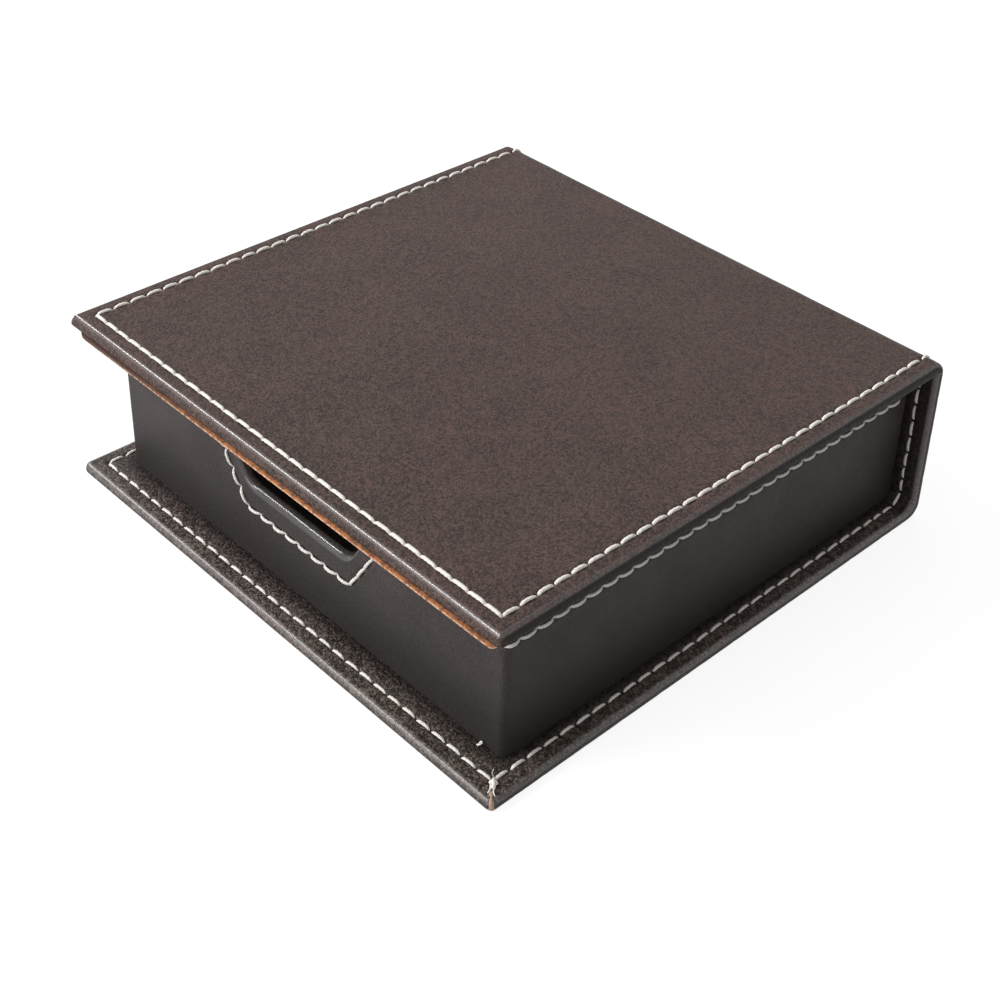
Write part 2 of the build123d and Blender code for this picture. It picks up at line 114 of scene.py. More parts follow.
class CaseSizes(bpy.types.PropertyGroup):
    """Sizes of the folded case that the frame doesn't give."""

    lid_corner: length_size("Lid corner", "Rounding of the lid's corners in plan", 1.15)
    lining_left: length_size("Lining, left", "Rounding of the lining's front left corner", 5.0)
    lining_right: length_size("Lining, right", "Rounding of the lining's front right corner", 1.0)
    base_corner: length_size("Base corner", "Rounding of the base's corners in plan", 1.6)
    turn_radius: length_size("Turn radius", "Outside rounding at the spine's foot", 3.0)
    hinge_radius: length_size("Hinge radius", "Outside rounding of the hinge", 2.6)
    foot_radius: length_size("Foot radius", "Inside rounding where the spine leaves the base", 2.6)
    undulation: length_size("Undulation", "How far the leather rises and falls", 0.035)


class TraySizes(bpy.types.PropertyGroup):
    """Sizes of the note tray that the frame doesn't give."""

    wall: length_size("Wall", "Thickness of the front and side walls", 4.1)
    rear_wall: length_size("Rear wall", "Thickness of the wall against the spine", 3.4)
    corner_radius: length_size("Corner radius", "Rounding of the tray's front corners", 1.5)
    rim_radius: length_size("Rim radius", "Rounding of the rim's edges", 0.6)
    lip_radius: length_size("Lip radius", "Rounding of the notch's front edge", 1.35)
    leather: length_size("Leather", "Thickness of the tray's leather", 0.6)
    notch_depth: length_size("Notch depth", "How far the notch goes down from the rim", 14.8)
    notch_half_width: length_size("Notch half width", "Half the width of the notch's floor", 14.9)
    notch_corner: length_size("Notch corner", "Rounding where the notch's floor meets its sides", 5.0)
    notch_lean: FloatProperty(
        name="Notch lean",
        description="How far the notch's sides lean out for each unit of height",
        default=0.66,
        min=0.0,
        max=2.0,
    )
    rim_seam_drop: length_size("Rim seam drop", "Height of the rim above its seam", 7.45)
    notch_seam_side: length_size("Seam beside notch", "From the notch's side to its seam", 4.2)
    notch_seam_floor: length_size("Seam below notch", "From the notch's floor to its seam", 5.7)
    turn_in: length_size("Turn-in", "Leather that goes on past the seam inside", 3.0)


class SeamSizes(bpy.types.PropertyGroup):
    """Sizes of the stitches."""

    inset: length_size("Inset", "From a panel's edge to its seam", 3.9)
    pitch: length_size("Pitch", "From one needle hole to the next", 3.9)
    case_thread: length_size("Case thread", "Thickness of the thread on the base and spine", 0.62)
    lid_thread: length_size("Lid thread", "Thickness of the thread on the lid", 0.74)
    tray_thread: length_size("Tray thread", "Thickness of the thread on the tray", 0.66)
    dip: length_size("Dip", "How far a seam pulls the leather in", 0.17)
    hole: length_size("Hole", "How much deeper the leather is at a needle hole", 0.2)
    seed: IntProperty(
        name="Seed",
        description="Start of the stitches' small differences",
        default=7,
        min=0,
    )


class FinishColours(bpy.types.PropertyGroup):
    """Colours of the leather, linings, thread and board."""

    case: paint("Case leather", "Leather of the lid, the spine and the base", (0.0078, 0.0039, 0.0039))
    case_light: paint("Case leather, light", "Raised grain and rubbed edges", (0.1222, 0.0741, 0.0624))
    case_low: paint("Case leather, low", "Greyer raised grain of the base", (0.2145, 0.1625, 0.1456))
    tray: paint("Tray leather", "Smoother leather of the tray", (0.02714, 0.02301, 0.02183))
    tray_light: paint("Tray leather, light", "Raised grain of the tray", (0.09676, 0.08024, 0.07906))
    # The tray's low colour darkens its walls towards their foot: painted shade
    tray_shaded_foot: paint("Tray leather, low", "Raised grain at the walls' foot", (0.0354, 0.03033, 0.02938))
    tan: paint("Tan lining", "Sheet under the lid", (0.46, 0.186, 0.066))
    tan_edge: paint("Tan lining, cut edge", "Bright line along the cut edge", (0.5, 0.185, 0.062))
    # The dark tan gives the face's darker fibres, and painted shade on the upper part of the cut edge
    tan_fibre_and_shade: paint("Tan lining, dark", "Burnished upper part of the cut edge", (0.075, 0.038, 0.027))
    fray: paint("Tan lining, fray", "Pale frayed line along the cut edge's foot", (0.72, 0.5, 0.36))
    well: paint("Well lining", "Lining inside the tray", (0.024, 0.0156, 0.0132))
    thread: paint("Thread", "Sewing thread", (0.9, 0.85, 0.8))
    board: paint("Board", "Bookbinder's board", (0.42, 0.35, 0.27))
    backing: paint("Backing", "Raw back of the leather where it has split", (0.55, 0.4, 0.3))


def case_sizes():
    """The case's sizes, in millimetres where they are lengths."""
    return bpy.context.scene.note_box_case


def tray_sizes():
    """The tray's sizes."""
    return bpy.context.scene.note_box_tray


def seam_sizes():
    """The seams' sizes."""
    return bpy.context.scene.note_box_seams


def colours():
    """The finish colours."""
    return bpy.context.scene.note_box_colours


# Meshes: points are gathered in millimetres, and strips that meet share them


class Shape:
    """A mesh in the making."""

    def __init__(self):
        self.points = []
        self.marks = []
        self.shades = []
        self.faces = []

    def add(self, places, mark=0.0, shade=0.0):
        """Add points of any grid and return their numbers in the same grid."""
        places = np.asarray(places, float)
        flat = places.reshape(-1, 3)
        first = sum(len(block) for block in self.points)
        self.points.append(flat)
        self.marks.append(np.broadcast_to(mark, places.shape[:-1]).reshape(-1).astype(float))
        self.shades.append(np.broadcast_to(shade, places.shape[:-1]).reshape(-1).astype(float))
        return np.arange(first, first + len(flat)).reshape(places.shape[:-1])

    def strip(self, numbers, closed=False):
        """Four-sided faces between neighbouring rows and columns of a grid of numbers."""
        if closed:
            numbers = np.concatenate([numbers, numbers[:, :1]], axis=1)
        quads = np.stack(
            [numbers[:-1, :-1], numbers[1:, :-1], numbers[1:, 1:], numbers[:-1, 1:]], axis=-1
        )
        self.faces.extend(quads.reshape(-1, 4).tolist())

    def face(self, numbers):
        """One face with any number of corners."""
        self.faces.append([int(number) for number in numbers])

    def tube(self, rings):
        """A tube through rings of points, shut at both ends."""
        numbers = self.add(rings)
        self.strip(numbers, closed=True)
        self.face(numbers[0])
        self.face(numbers[-1][::-1])

    def build(self, name, material, sharp=40.0):
        """Make the Blender object, in metres."""
        mesh = bpy.data.meshes.new(name)
        points = np.concatenate(self.points) * MM
        mesh.from_pydata(points.tolist(), [], self.faces)
        # Each point's "rubbed" share marks worn, glossy edges, and its "shaded" share is painted shade
        for kind, blocks in (("rubbed", self.marks), ("shaded", self.shades)):
            layer = mesh.attributes.new(kind, "FLOAT", "POINT")
            layer.data.foreach_set("value", np.concatenate(blocks).astype(np.float32))
        work = bmesh.new()
        work.from_mesh(mesh)
        bmesh.ops.remove_doubles(work, verts=work.verts, dist=0.002 * MM)
        bmesh.ops.dissolve_degenerate(work, edges=work.edges, dist=0.001 * MM)
        bmesh.ops.recalc_face_normals(work, faces=work.faces)
        work.to_mesh(mesh)
        work.free()
        mesh.polygons.foreach_set("use_smooth", [True] * len(mesh.polygons))
        mesh.set_sharp_from_angle(angle=math.radians(sharp))
        mesh.materials.append(material)
        piece = bpy.data.objects.new(name, mesh)
        bpy.context.scene.collection.objects.link(piece)
        return piece


def ease(share):
    """A smooth step from 0 to 1, held outside that."""
    share = np.clip(share, 0, 1)
    return share * share * (3 - 2 * share)


def ripple(across, along, size):
    """A gentle, uneven rise and fall between -1 and 1, over about the given size."""
    u, v = across / size, along / size
    return (
        np.sin(1.7 * u + 0.6 * v + 0.4)
        + np.sin(-0.9 * u + 1.9 * v + 2.1)
        + 0.6 * np.sin(3.1 * u - 2.3 * v + 1.3)
        + 0.5 * np.sin(4.3 * u + 3.7 * v + 5.2)
    ) / 3.1


# Within this share of the thickness, a place lies on one of the sheet's two faces
FLUSH = 1e-6

# How many millimetres of the base and of the spine, beside the rounding between them, pass from its
# levels to their own
BASE_RUN = 12
SPINE_RUN = 10

# The case is one sheet, drawn flat and then folded. Its flat place is across (X) and along, from
# the base's front edge up the spine and over the lid. Depth 0 is its outside and depth 1 inside.


class Fold:
    """The lengths of the flat case and the folds between them."""

    def __init__(self):
        size = case_sizes()
        self.half = BASE_HIGH.x
        self.front = BASE_LOW.y
        self.back = SPINE_HIGH.y
        self.base = BASE_HIGH.z
        self.lid = LID_HIGH.z - LID_LOW.z
        self.turn = size.turn_radius / MM
        self.foot = size.foot_radius / MM
        self.hinge = size.hinge_radius / MM
        self.middle_y = self.back - self.turn
        self.hinge_y = self.back - self.hinge
        self.hinge_z = LID_HIGH.z - self.hinge
        self.foot_start = self.middle_y - self.front
        self.foot_end = self.foot_start + (self.turn + self.foot) / 2 * math.pi / 2
        self.hinge_start = self.foot_end + self.hinge_z - self.turn
        self.hinge_end = self.hinge_start + 0.8 * self.hinge * math.pi / 2
        self.lid_end = self.hinge_end + self.hinge_y - LID_LOW.y
        self.spine_cut = self.hinge_start - (self.hinge_z - SPINE_HIGH.z)
        self.lid_cut = self.hinge_end + self.hinge_y - LID_HIGH.y

    def place(self, across, along, depth):
        """The folded place of a flat point."""
        across, along, depth = np.broadcast_arrays(
            np.asarray(across, float), np.asarray(along, float), np.asarray(depth, float)
        )
        inner_y = self.back - self.lid - self.foot
        inner_z = self.base + self.foot
        foot_y = self.middle_y + (inner_y - self.middle_y) * depth
        foot_z = self.turn + (inner_z - self.turn) * depth
        foot_radius = self.turn + (self.foot - self.turn) * depth
        near_foot = ease((along - self.foot_start + BASE_RUN) / BASE_RUN)
        base_y = self.front + along + (foot_y - self.middle_y) * near_foot
        base_z = self.base * depth
        turn = (along - self.foot_start) / (self.foot_end - self.foot_start) * math.pi / 2
        turn = np.clip(turn, 0, math.pi / 2)
        round_y = foot_y + foot_radius * np.sin(turn)
        round_z = foot_z - foot_radius * np.cos(turn)
        past_foot = 1 - ease((along - self.foot_end) / SPINE_RUN)
        spine_y = self.back - self.lid * depth
        spine_z = self.turn + along - self.foot_end + (foot_z - self.turn) * past_foot
        bend = (along - self.hinge_start) / (self.hinge_end - self.hinge_start) * math.pi / 2
        bend = np.clip(bend, 0, math.pi / 2)
        hinge_radius = self.hinge - self.lid * depth
        hinge_y = self.hinge_y + hinge_radius * np.cos(bend)
        hinge_z = self.hinge_z + hinge_radius * np.sin(bend)
        lid_y = self.hinge_y - (along - self.hinge_end)
        lid_z = LID_HIGH.z - self.lid * depth
        zones = [
            along <= self.foot_start,
            along <= self.foot_end,
            along <= self.hinge_start,
            along <= self.hinge_end,
        ]
        y = np.select(zones, [base_y, round_y, spine_y, hinge_y], lid_y)
        z = np.select(zones, [base_z, round_z, spine_z, hinge_z], lid_z)
        return np.stack([across, y, z], axis=-1)

    def inside(self, across, along, height):
        """A place above the sheet's inside."""
        return self.place(across, along, 1 + height / self.lid)

    def outside(self, across, along, height):
        """A place above the sheet's outside."""
        return self.place(across, along, -height / self.lid)


def beaded(fold, across, along, depth, move, swell):
    """The folded place of a panel's point, moved off its face, with an uneven bead at the edge."""
    out = np.where(depth > 0.5, 1.0, -1.0)
    flat = (depth < FLUSH) | (depth > 1 - FLUSH)
    bead = np.minimum(swell * ripple(along * 2.2, across * 2.2, 3.0), 0)
    across = across + np.where(flat, 0, np.sign(across) * bead)
    return fold.place(across, along, depth + out * move / fold.lid)


def row_parts(row):
    """Start, length, direction and number of stitches of a straight seam row."""
    (x0, y0), (x1, y1) = row
    length = math.hypot(x1 - x0, y1 - y0)
    count = max(1, round(length / (seam_sizes().pitch / MM)))
    return (x0, y0), length, ((x1 - x0) / length, (y1 - y0) / length), count


# How a seam draws the leather in, in millimetres: the widths of its furrow and of the pit at each
# needle hole, and the place and height of the low shoulders beside it
FURROW_WIDTH = 0.5
PIT_WIDTH = 0.38
SHOULDER_PLACE = 1.15
SHOULDER_HEIGHT = 0.05


def seam_dip(across, along, rows, depth=1.0):
    """How far the seam pulls the leather in at flat places, in millimetres below the surface."""
    size = seam_sizes()
    total = np.zeros(np.broadcast(across, along).shape)
    for row in rows:
        (x0, y0), length, (dx, dy), count = row_parts(row)
        run = (across - x0) * dx + (along - y0) * dy
        aside = (across - x0) * -dy + (along - y0) * dx
        pitch = length / count
        beyond = np.maximum(np.maximum(-run, run - length), 0)
        to_hole = np.abs((np.clip(run, 0, length) / pitch + 0.5) % 1 - 0.5) * pitch
        furrow = size.dip / MM * np.exp(-((aside / FURROW_WIDTH) ** 2))
        pit = size.hole / MM * np.exp(-(aside**2 + to_hole**2) / PIT_WIDTH**2)
        off_shoulder = (np.abs(aside) - SHOULDER_PLACE) / FURROW_WIDTH
        shoulder = SHOULDER_HEIGHT * np.exp(-(off_shoulder**2))
        pull = (furrow + pit - shoulder) * np.exp(-((beyond / FURROW_WIDTH) ** 2))
        total = np.where(np.abs(pull) > np.abs(total), pull, total)
    return total * depth


# Inset in millimetres and depth as a share, down the lid's edge: a bevel, a crease and a roll
BEVEL = (
    (1.55, 0.0), (1.3, 0.012), (1.12, 0.035), (0.97, 0.075), (0.84, 0.125), (0.7, 0.19), (0.58, 0.25),
    (0.62, 0.285), (0.54, 0.325), (0.38, 0.4), (0.24, 0.5), (0.13, 0.61), (0.05, 0.73), (0.0, 0.84),
    (0.04, 0.93), (0.3, 0.985), (1.0, 1.0),
)

# Insets of the finely meshed border beside a panel's edge, closest together where the seam runs
BORDER = (
    6.5, 5.8, 5.3, 4.95, 4.7, 4.5, 4.33, 4.16, 4.0, 3.84, 3.67, 3.5, 3.3, 3.05, 2.7, 2.3, 1.95, 1.65,
)

# Steps along the side and the front of the case's sheet, and of the lid's and the lining's
CASE_STEPS = (390, 300)
LID_STEPS = (300, 300)

# Steps round a panel's corner, and rim steps for each step of its plain middle
CORNER_STEPS = 12
MIDDLE_STRIDE = 3

# How far the lid's edge, and the base's and spine's, follow the bevel: below 0 it faces inside
LID_BEVEL = 1.0
CASE_BEVEL = -0.45


def edge_profile(thickness, bevel):
    """Inset and depth of a panel's edge: bevelled outside at 1, inside at -1, a round bead at 0."""
    radius = thickness / 2
    cut = BEVEL if bevel > 0 else [(inset, 1 - depth) for inset, depth in reversed(BEVEL)]
    bead = []
    share = abs(bevel)
    for step, (inset, depth) in enumerate(cut):
        turn = math.pi * step / (len(cut) - 1)
        round_inset, round_depth = radius * (1 - math.sin(turn)), 0.5 - 0.5 * math.cos(turn)
        inset = round_inset + (inset - round_inset) * share
        bead.append((inset, round_depth + (depth - round_depth) * share))
    outside = [(inset, 0.0) for inset in BORDER]
    inside = [(inset, 1.0) for inset in reversed(BORDER)]
    return np.array(outside + bead + inside)


def edge_marks(insets, depths, bevel):
    """How rubbed a panel's edge is: most on the shoulder of its bevelled side."""
    shoulder = ease((1.5 - insets) / 0.5)
    outer = ease((0.36 - depths) / 0.1)
    inner = ease((depths - 0.5) / 0.12)
    return shoulder * (outer * max(bevel, 0) + inner * min(max(-bevel, 0) / -CASE_BEVEL, 1))


def side_shade(across, depth, half, bevel):
    """Painted shade: how much darker the rolled sides are painted than the rolled front, and the
    spine's inside.
    """
    beside = ease((np.abs(across) - half + 1.4) / 0.6)
    lid = 0.75 * ease((depth - 0.24) / 0.1)
    case = 0.5 * ease(depth / 0.12) * ease((0.8 - depth) / 0.15)
    share = (bevel - CASE_BEVEL) / (LID_BEVEL - CASE_BEVEL)
    inside = 0.45 * (depth > 0.9) * (1 - share)
    return np.maximum(beside * (case + (lid - case) * share), inside)


def behind_front(from_front):
    """0 at a panel's rolled front edge and 1 behind it, where the sides have their own painted shade.
    """
    return ease((from_front - 0.7) / 0.9)


def panel(shape, surface, half, length, radii, profile, steps, bevel=0.0, marks=None, shade=None):
    """A panel with a rolled edge on its left, front and right, and a plain cut at its back."""
    shade = shade or (lambda across, along, depth: 0.0)
    insets, depths = profile[:, 0], profile[:, 1]
    left_round, right_round = (np.maximum(radius - insets, 0) for radius in radii)
    left, right = insets + left_round, insets + right_round
    side_steps, front_steps = steps
    sides = np.arange(side_steps + 1)[:, None] / side_steps
    fronts = np.arange(1, front_steps + 1)[:, None]
    turns = [math.pi / 2 * step / CORNER_STEPS for step in range(1, CORNER_STEPS + 1)]
    cosines = np.array([math.cos(turn) for turn in turns])[:, None]
    sines = np.array([math.sin(turn) for turn in turns])[:, None]
    across = np.concatenate(
        [
            -(half - insets) + 0 * sides,
            -(half - left) - left_round * cosines,
            left - half + (2 * half - left - right) * fronts / front_steps,
            (half - right) + right_round * sines,
            half - insets + 0 * sides[1:],
        ]
    )
    along = np.concatenate(
        [
            length + (left - length) * sides,
            left - left_round * sines,
            insets + 0 * fronts,
            right - right_round * cosines,
            right + (length - right) * sides[1:],
        ]
    )
    depth = np.broadcast_to(depths, across.shape)
    marks = edge_marks(insets, depths, bevel) if marks is None else marks
    ring = shape.add(surface(across, along, depth), marks, shade(across, along, depth))
    shape.strip(ring)

    # The middle's outer faces also take in the ring's points, so that no gap is left
    border = insets[0]
    rows = np.arange(0, side_steps + 1, MIDDLE_STRIDE)
    columns = np.arange(0, front_steps + 1, MIDDLE_STRIDE)
    row_along = length + (border - length) * rows / side_steps
    column_across = (half - border) * (2 * columns / front_steps - 1)
    front_first = side_steps + CORNER_STEPS
    right_first = front_first + front_steps + CORNER_STEPS
    cut_rows = []
    for edge in (0, -1):
        flat_across, flat_along = np.meshgrid(column_across, row_along)
        flat_depth = np.full(flat_across.shape, depths[edge])
        flat_shade = shade(flat_across, flat_along, flat_depth)
        middle = shape.add(surface(flat_across, flat_along, flat_depth), marks[edge], flat_shade)
        last_row, last_column = len(rows) - 1, len(columns) - 1
        for row in range(last_row):
            for column in range(last_column):
                corners = [middle[row, column], middle[row, column + 1]]
                if column == last_column - 1:
                    first = right_first + side_steps - rows[row]
                    corners += [ring[first - 1, edge], ring[first - 2, edge]]
                corners.append(middle[row + 1, column + 1])
                if row == last_row - 1:
                    first = front_first + columns[column + 1]
                    corners += [ring[first - 1, edge], ring[first - 2, edge]]
                corners.append(middle[row + 1, column])
                if column == 0:
                    corners += [ring[rows[row] + 2, edge], ring[rows[row] + 1, edge]]
                shape.face(corners)
        cut_rows.append(middle[0])
    shape.face([*ring[0], *cut_rows[1][1:-1], *ring[-1][::-1], *cut_rows[0][-2:0:-1]])


class Stitch:
    """The look of one seam's stitches. Lengths are shares of the pitch or of the thread."""

    def __init__(self, thickness, fill, lift, arch=3.4, slant=0.0, sway=0.0, point=0.34):
        self.thickness = thickness / MM
        self.fill = fill
        self.lift = lift
        self.arch = arch
        self.slant = slant
        self.sway = sway
        self.point = point


# Rings along a stitch and points round it
STITCH_RINGS = 17
STITCH_SIDES = 12


def tube_stitches(rows, surface, stitch, generator, shape=None):
    """Twisted stitches along the rows of a surface: each dives into its needle holes."""
    shape = shape or Shape()
    run = np.linspace(-1, 1, STITCH_RINGS)[:, None]
    turn = np.linspace(0, 2 * math.pi, STITCH_SIDES, endpoint=False)[None, :]
    for row in rows:
        (x0, y0), length, (dx, dy), count = row_parts(row)
        pitch = length / count
        for number in range(count):
            middle = (number + 0.5) * pitch
            tilt = math.radians(stitch.slant + generator.uniform(-1.5, 1.5))
            half = pitch * stitch.fill / 2 * generator.uniform(0.98, 1.01)
            height = stitch.thickness * stitch.lift * generator.uniform(0.92, 1.06)
            swing = stitch.sway * generator.uniform(0.7, 1.3)
            shift = generator.uniform(-0.05, 0.05)
            phase = generator.uniform(0, 6.28)
            # From here on a stitch is an arched tube with three twisted strands
            radius = stitch.thickness / 2 * generator.uniform(0.94, 1.05)
            blunt, keen = 0.3 * np.maximum(-run, 0) ** 5, stitch.point * np.maximum(run, 0) ** 2.5
            taper = radius * (1 - blunt - keen)
            lobes = 1 + 0.08 * np.cos(3 * turn - 6.5 * half * run + phase)
            rise = height * (1 - np.abs(run) ** stitch.arch) - 0.2 * np.abs(run) ** 6
            rise = rise - stitch.thickness * 0.32
            along = run * half * math.cos(tilt) + 0 * turn
            aside = run * half * math.sin(tilt) + swing * np.sin(run * math.pi) + shift
            aside = aside + taper * lobes * np.cos(turn)
            above = rise + 0.85 * taper * lobes * np.sin(turn)
            across_flat = x0 + dx * (middle + along) - dy * aside
            along_flat = y0 + dy * (middle + along) + dx * aside
            shape.tube(surface(across_flat, along_flat, above))
    return shape


# Materials


def fresh_material(name):
    """A new material with only its output."""
    material = bpy.data.materials.new(name)
    material.use_nodes = True
    tree = material.node_tree
    tree.nodes.clear()
    output = tree.nodes.new("ShaderNodeOutputMaterial")
    return material, tree, output


def node(tree, kind, settings=None, **sockets):
    """Add a node, set its options, and fill or link its sockets by name or number."""
    made = tree.nodes.new(kind)
    for option, value in (settings or {}).items():
        setattr(made, option, value)
    for socket, value in sockets.items():
        name = int(socket[1:]) if socket[0] == "_" else socket.replace("_", " ")
        if isinstance(value, bpy.types.NodeSocket):
            tree.links.new(value, made.inputs[name])
        else:
            made.inputs[name].default_value = value
    return made


def reckon(tree, operation, first, second=0.0, third=0.0):
    """A maths node's result."""
    sockets = {"_0": first, "_1": second}
    if operation == "MULTIPLY_ADD":
        sockets["_2"] = third
    return node(tree, "ShaderNodeMath", {"operation": operation}, **sockets).outputs[0]


def reckon_places(tree, operation, *values):
    """A vector maths node's result."""
    sockets = {f"_{number}": value for number, value in enumerate(values)}
    return node(tree, "ShaderNodeVectorMath", {"operation": operation}, **sockets).outputs[0]


def remap(tree, value, low, high, to_low=0.0, to_high=1.0):
    """A smooth change of range."""
    ranged = node(
        tree,
        "ShaderNodeMapRange",
        {"interpolation_type": "SMOOTHSTEP"},
        Value=value,
        From_Min=low,
        From_Max=high,
        To_Min=to_low,
        To_Max=to_high,
    )
    return ranged.outputs["Result"]


def blend_colours(tree, share, first, second, kind="MIX"):
    """A mix of two colours."""
    mixed = node(tree, "ShaderNodeMix", {"data_type": "RGBA", "blend_type": kind})
    for place, value in ((0, share), (6, first), (7, second)):
        if isinstance(value, bpy.types.NodeSocket):
            tree.links.new(value, mixed.inputs[place])
        elif place == 0:
            mixed.inputs[place].default_value = value
        else:
            mixed.inputs[place].default_value = (*value, 1.0)
    return mixed.outputs[2]


def millimetre_place(tree):
    """The place on the piece in millimetres, since a texture's scale has an upper limit."""
    place = node(tree, "ShaderNodeTexCoord").outputs["Object"]
    return reckon_places(tree, "MULTIPLY", place, (1 / MM,) * 3)


def noise(tree, vector, size, detail=3.0, roughness=0.55):
    """Soft noise whose features are about the given size in millimetres."""
    made = node(
        tree,
        "ShaderNodeTexNoise",
        Vector=vector,
        Scale=1 / size,
        Detail=detail,
        Roughness=roughness,
    )
    return made.outputs["Fac"]


def toned(colour, share):
    """A colour made darker or lighter."""
    return tuple(channel * share for channel in colour)


def dress(tree, output, colour, roughness, relief, strength, depth, **same_all_over):
    """Join colour, roughness, relief and the values that are the same all over into a surface."""
    bump = node(tree, "ShaderNodeBump", Strength=strength, Distance=depth * MM, Height=relief)
    shader = node(
        tree,
        "ShaderNodeBsdfPrincipled",
        Base_Color=colour,
        Roughness=roughness,
        Normal=bump.outputs["Normal"],
        **same_all_over,
    )
    tree.links.new(shader.outputs[0], output.inputs["Surface"])


def mesh_share(tree, name):
    """A value that the mesh carries at each point."""
    return node(tree, "ShaderNodeAttribute", {"attribute_name": name}).outputs["Fac"]


def pebbles(tree, place, grain):
    """Cells of a pebble grain, large and fine: their domes and their random tones."""
    domes, tones = [], []
    for scale, low, high in ((1 / grain, 0.08, 0.78), (2.3 / grain, 0.1, 0.8)):
        cells = node(tree, "ShaderNodeTexVoronoi", {"feature": "F1"}, Vector=place, Scale=scale)
        domes.append(remap(tree, cells.outputs["Distance"], low, high, 1.0, 0.0))
        tones.append(node(tree, "ShaderNodeSeparateColor", Color=cells.outputs["Color"]).outputs[0])
    return domes, tones


def pebble_leather(
    name, paints, *, grain, depth, contrast, sharpness, roughness, specular, rub, mottle, stain, coat
):
    """Imitation leather with an embossed pebble grain, creased, mottled and rubbed at its edges."""
    dark, light, light_low = (tuple(colour) for colour in paints)
    material, tree, output = fresh_material(name)
    place = millimetre_place(tree)
    drift = node(tree, "ShaderNodeTexNoise", Vector=place, Scale=1 / (2.2 * grain), Detail=2.0)
    centred = reckon_places(tree, "SUBTRACT", drift.outputs["Color"], (0.5,) * 3)
    warped = reckon_places(tree, "MULTIPLY_ADD", centred, (1.3 * grain,) * 3, place)
    (domes, fine_domes), (specks, fine_specks) = pebbles(tree, warped, grain)
    specks = reckon(tree, "MULTIPLY_ADD", fine_specks, 0.35, reckon(tree, "MULTIPLY", specks, 0.65))
    fibres = noise(tree, place, size=0.16)
    edge, shade = mesh_share(tree, "rubbed"), mesh_share(tree, "shaded")

    relief = reckon(tree, "MULTIPLY_ADD", fine_domes, 0.35, domes)
    relief = reckon(tree, "MULTIPLY_ADD", fibres, 0.3, relief)
    relief = reckon(tree, "MULTIPLY_ADD", specks, 0.8, relief)
    smooth = reckon(tree, "SUBTRACT", 1.0, reckon(tree, "POWER", edge, 2.0))
    relief = reckon(tree, "MULTIPLY", relief, smooth)

    # Low on the box the grain takes its low colour and its specks are sharper
    # The low colour is a greyer grain on the base, and on the tray's walls a darker one, painted shade
    height = node(tree, "ShaderNodeSeparateXYZ", Vector=place).outputs["Z"]
    low = remap(tree, height, 6.0, 24.0, 1.0, 0.0)
    spots = remap(tree, specks, 0.15, 0.85)
    keen = reckon(tree, "MULTIPLY", low, sharpness)
    sharp = reckon(tree, "SUBTRACT", reckon(tree, "POWER", spots, 2.5), spots)
    spots = reckon(tree, "MULTIPLY_ADD", sharp, keen, spots)
    tint = reckon(tree, "MULTIPLY", domes, 0.2)
    tint = reckon(tree, "MULTIPLY_ADD", spots, contrast, tint)
    patches = remap(tree, noise(tree, place, size=14.0, detail=4.0, roughness=0.6), 0.3, 0.7)
    tint = reckon(tree, "MULTIPLY_ADD", patches, mottle, tint)
    # Painted shade: where the mesh is shaded, the grain's tint fades and the colour goes near black
    tint = reckon(tree, "MULTIPLY", tint, reckon(tree, "SUBTRACT", 1.0, shade))
    colour = blend_colours(tree, tint, dark, blend_colours(tree, low, light, light_low))
    colour = blend_colours(tree, shade, colour, (0.16, 0.14, 0.13), "MULTIPLY")
    stains = noise(tree, place, size=23.0, detail=2.0, roughness=0.5)
    stains = remap(tree, stains, 0.35, 0.75, 0.0, 0.4)
    colour = blend_colours(tree, stains, colour, stain, "MULTIPLY")
    scuffs = remap(tree, noise(tree, place, size=2.5, detail=5.0, roughness=0.7), 0.42, 0.68)
    worn = reckon(tree, "MULTIPLY", reckon(tree, "MULTIPLY", edge, scuffs), rub)
    colour = blend_colours(tree, worn, colour, light)

    dress(
        tree,
        output,
        colour,
        remap(tree, specks, 0.3, 0.7, roughness - 0.08, roughness + 0.08),
        relief,
        strength=0.9,
        depth=depth,
        Coat_Weight=reckon(tree, "MULTIPLY", edge, 0.9),
        Coat_Roughness=coat,
        Specular_IOR_Level=specular,
    )
    return material


def thread_finish():
    """Waxed off-white thread with fine fibres."""
    colour = tuple(colours().thread)
    shade = toned(colour, 0.62)
    material, tree, output = fresh_material("waxed_thread")
    place = millimetre_place(tree)
    fibre = noise(tree, place, size=0.09, detail=3.0, roughness=0.7)
    soil = noise(tree, place, size=5.0, detail=3.0, roughness=0.6)
    tone = blend_colours(tree, remap(tree, fibre, 0.3, 0.62), shade, colour)
    tone = blend_colours(tree, remap(tree, soil, 0.45, 0.75, 0.0, 0.25), tone, shade)
    gloss = remap(tree, fibre, 0.3, 0.7, 0.5, 0.72)
    soft = {"Specular_IOR_Level": 0.35, "Sheen_Weight": 0.2}
    dress(tree, output, tone, gloss, fibre, strength=0.7, depth=0.03, **soft)
    return material


# Heights above the lining's foot and distances from its left end, in millimetres, each as the two
# ends of a soft change
BRIGHT_TOP = (1.25, 0.8)
FRAY_TOP = (0.72, 0.48)
LEFT_DARK_END = (16, 56)
FRAY_START = (9, 16)


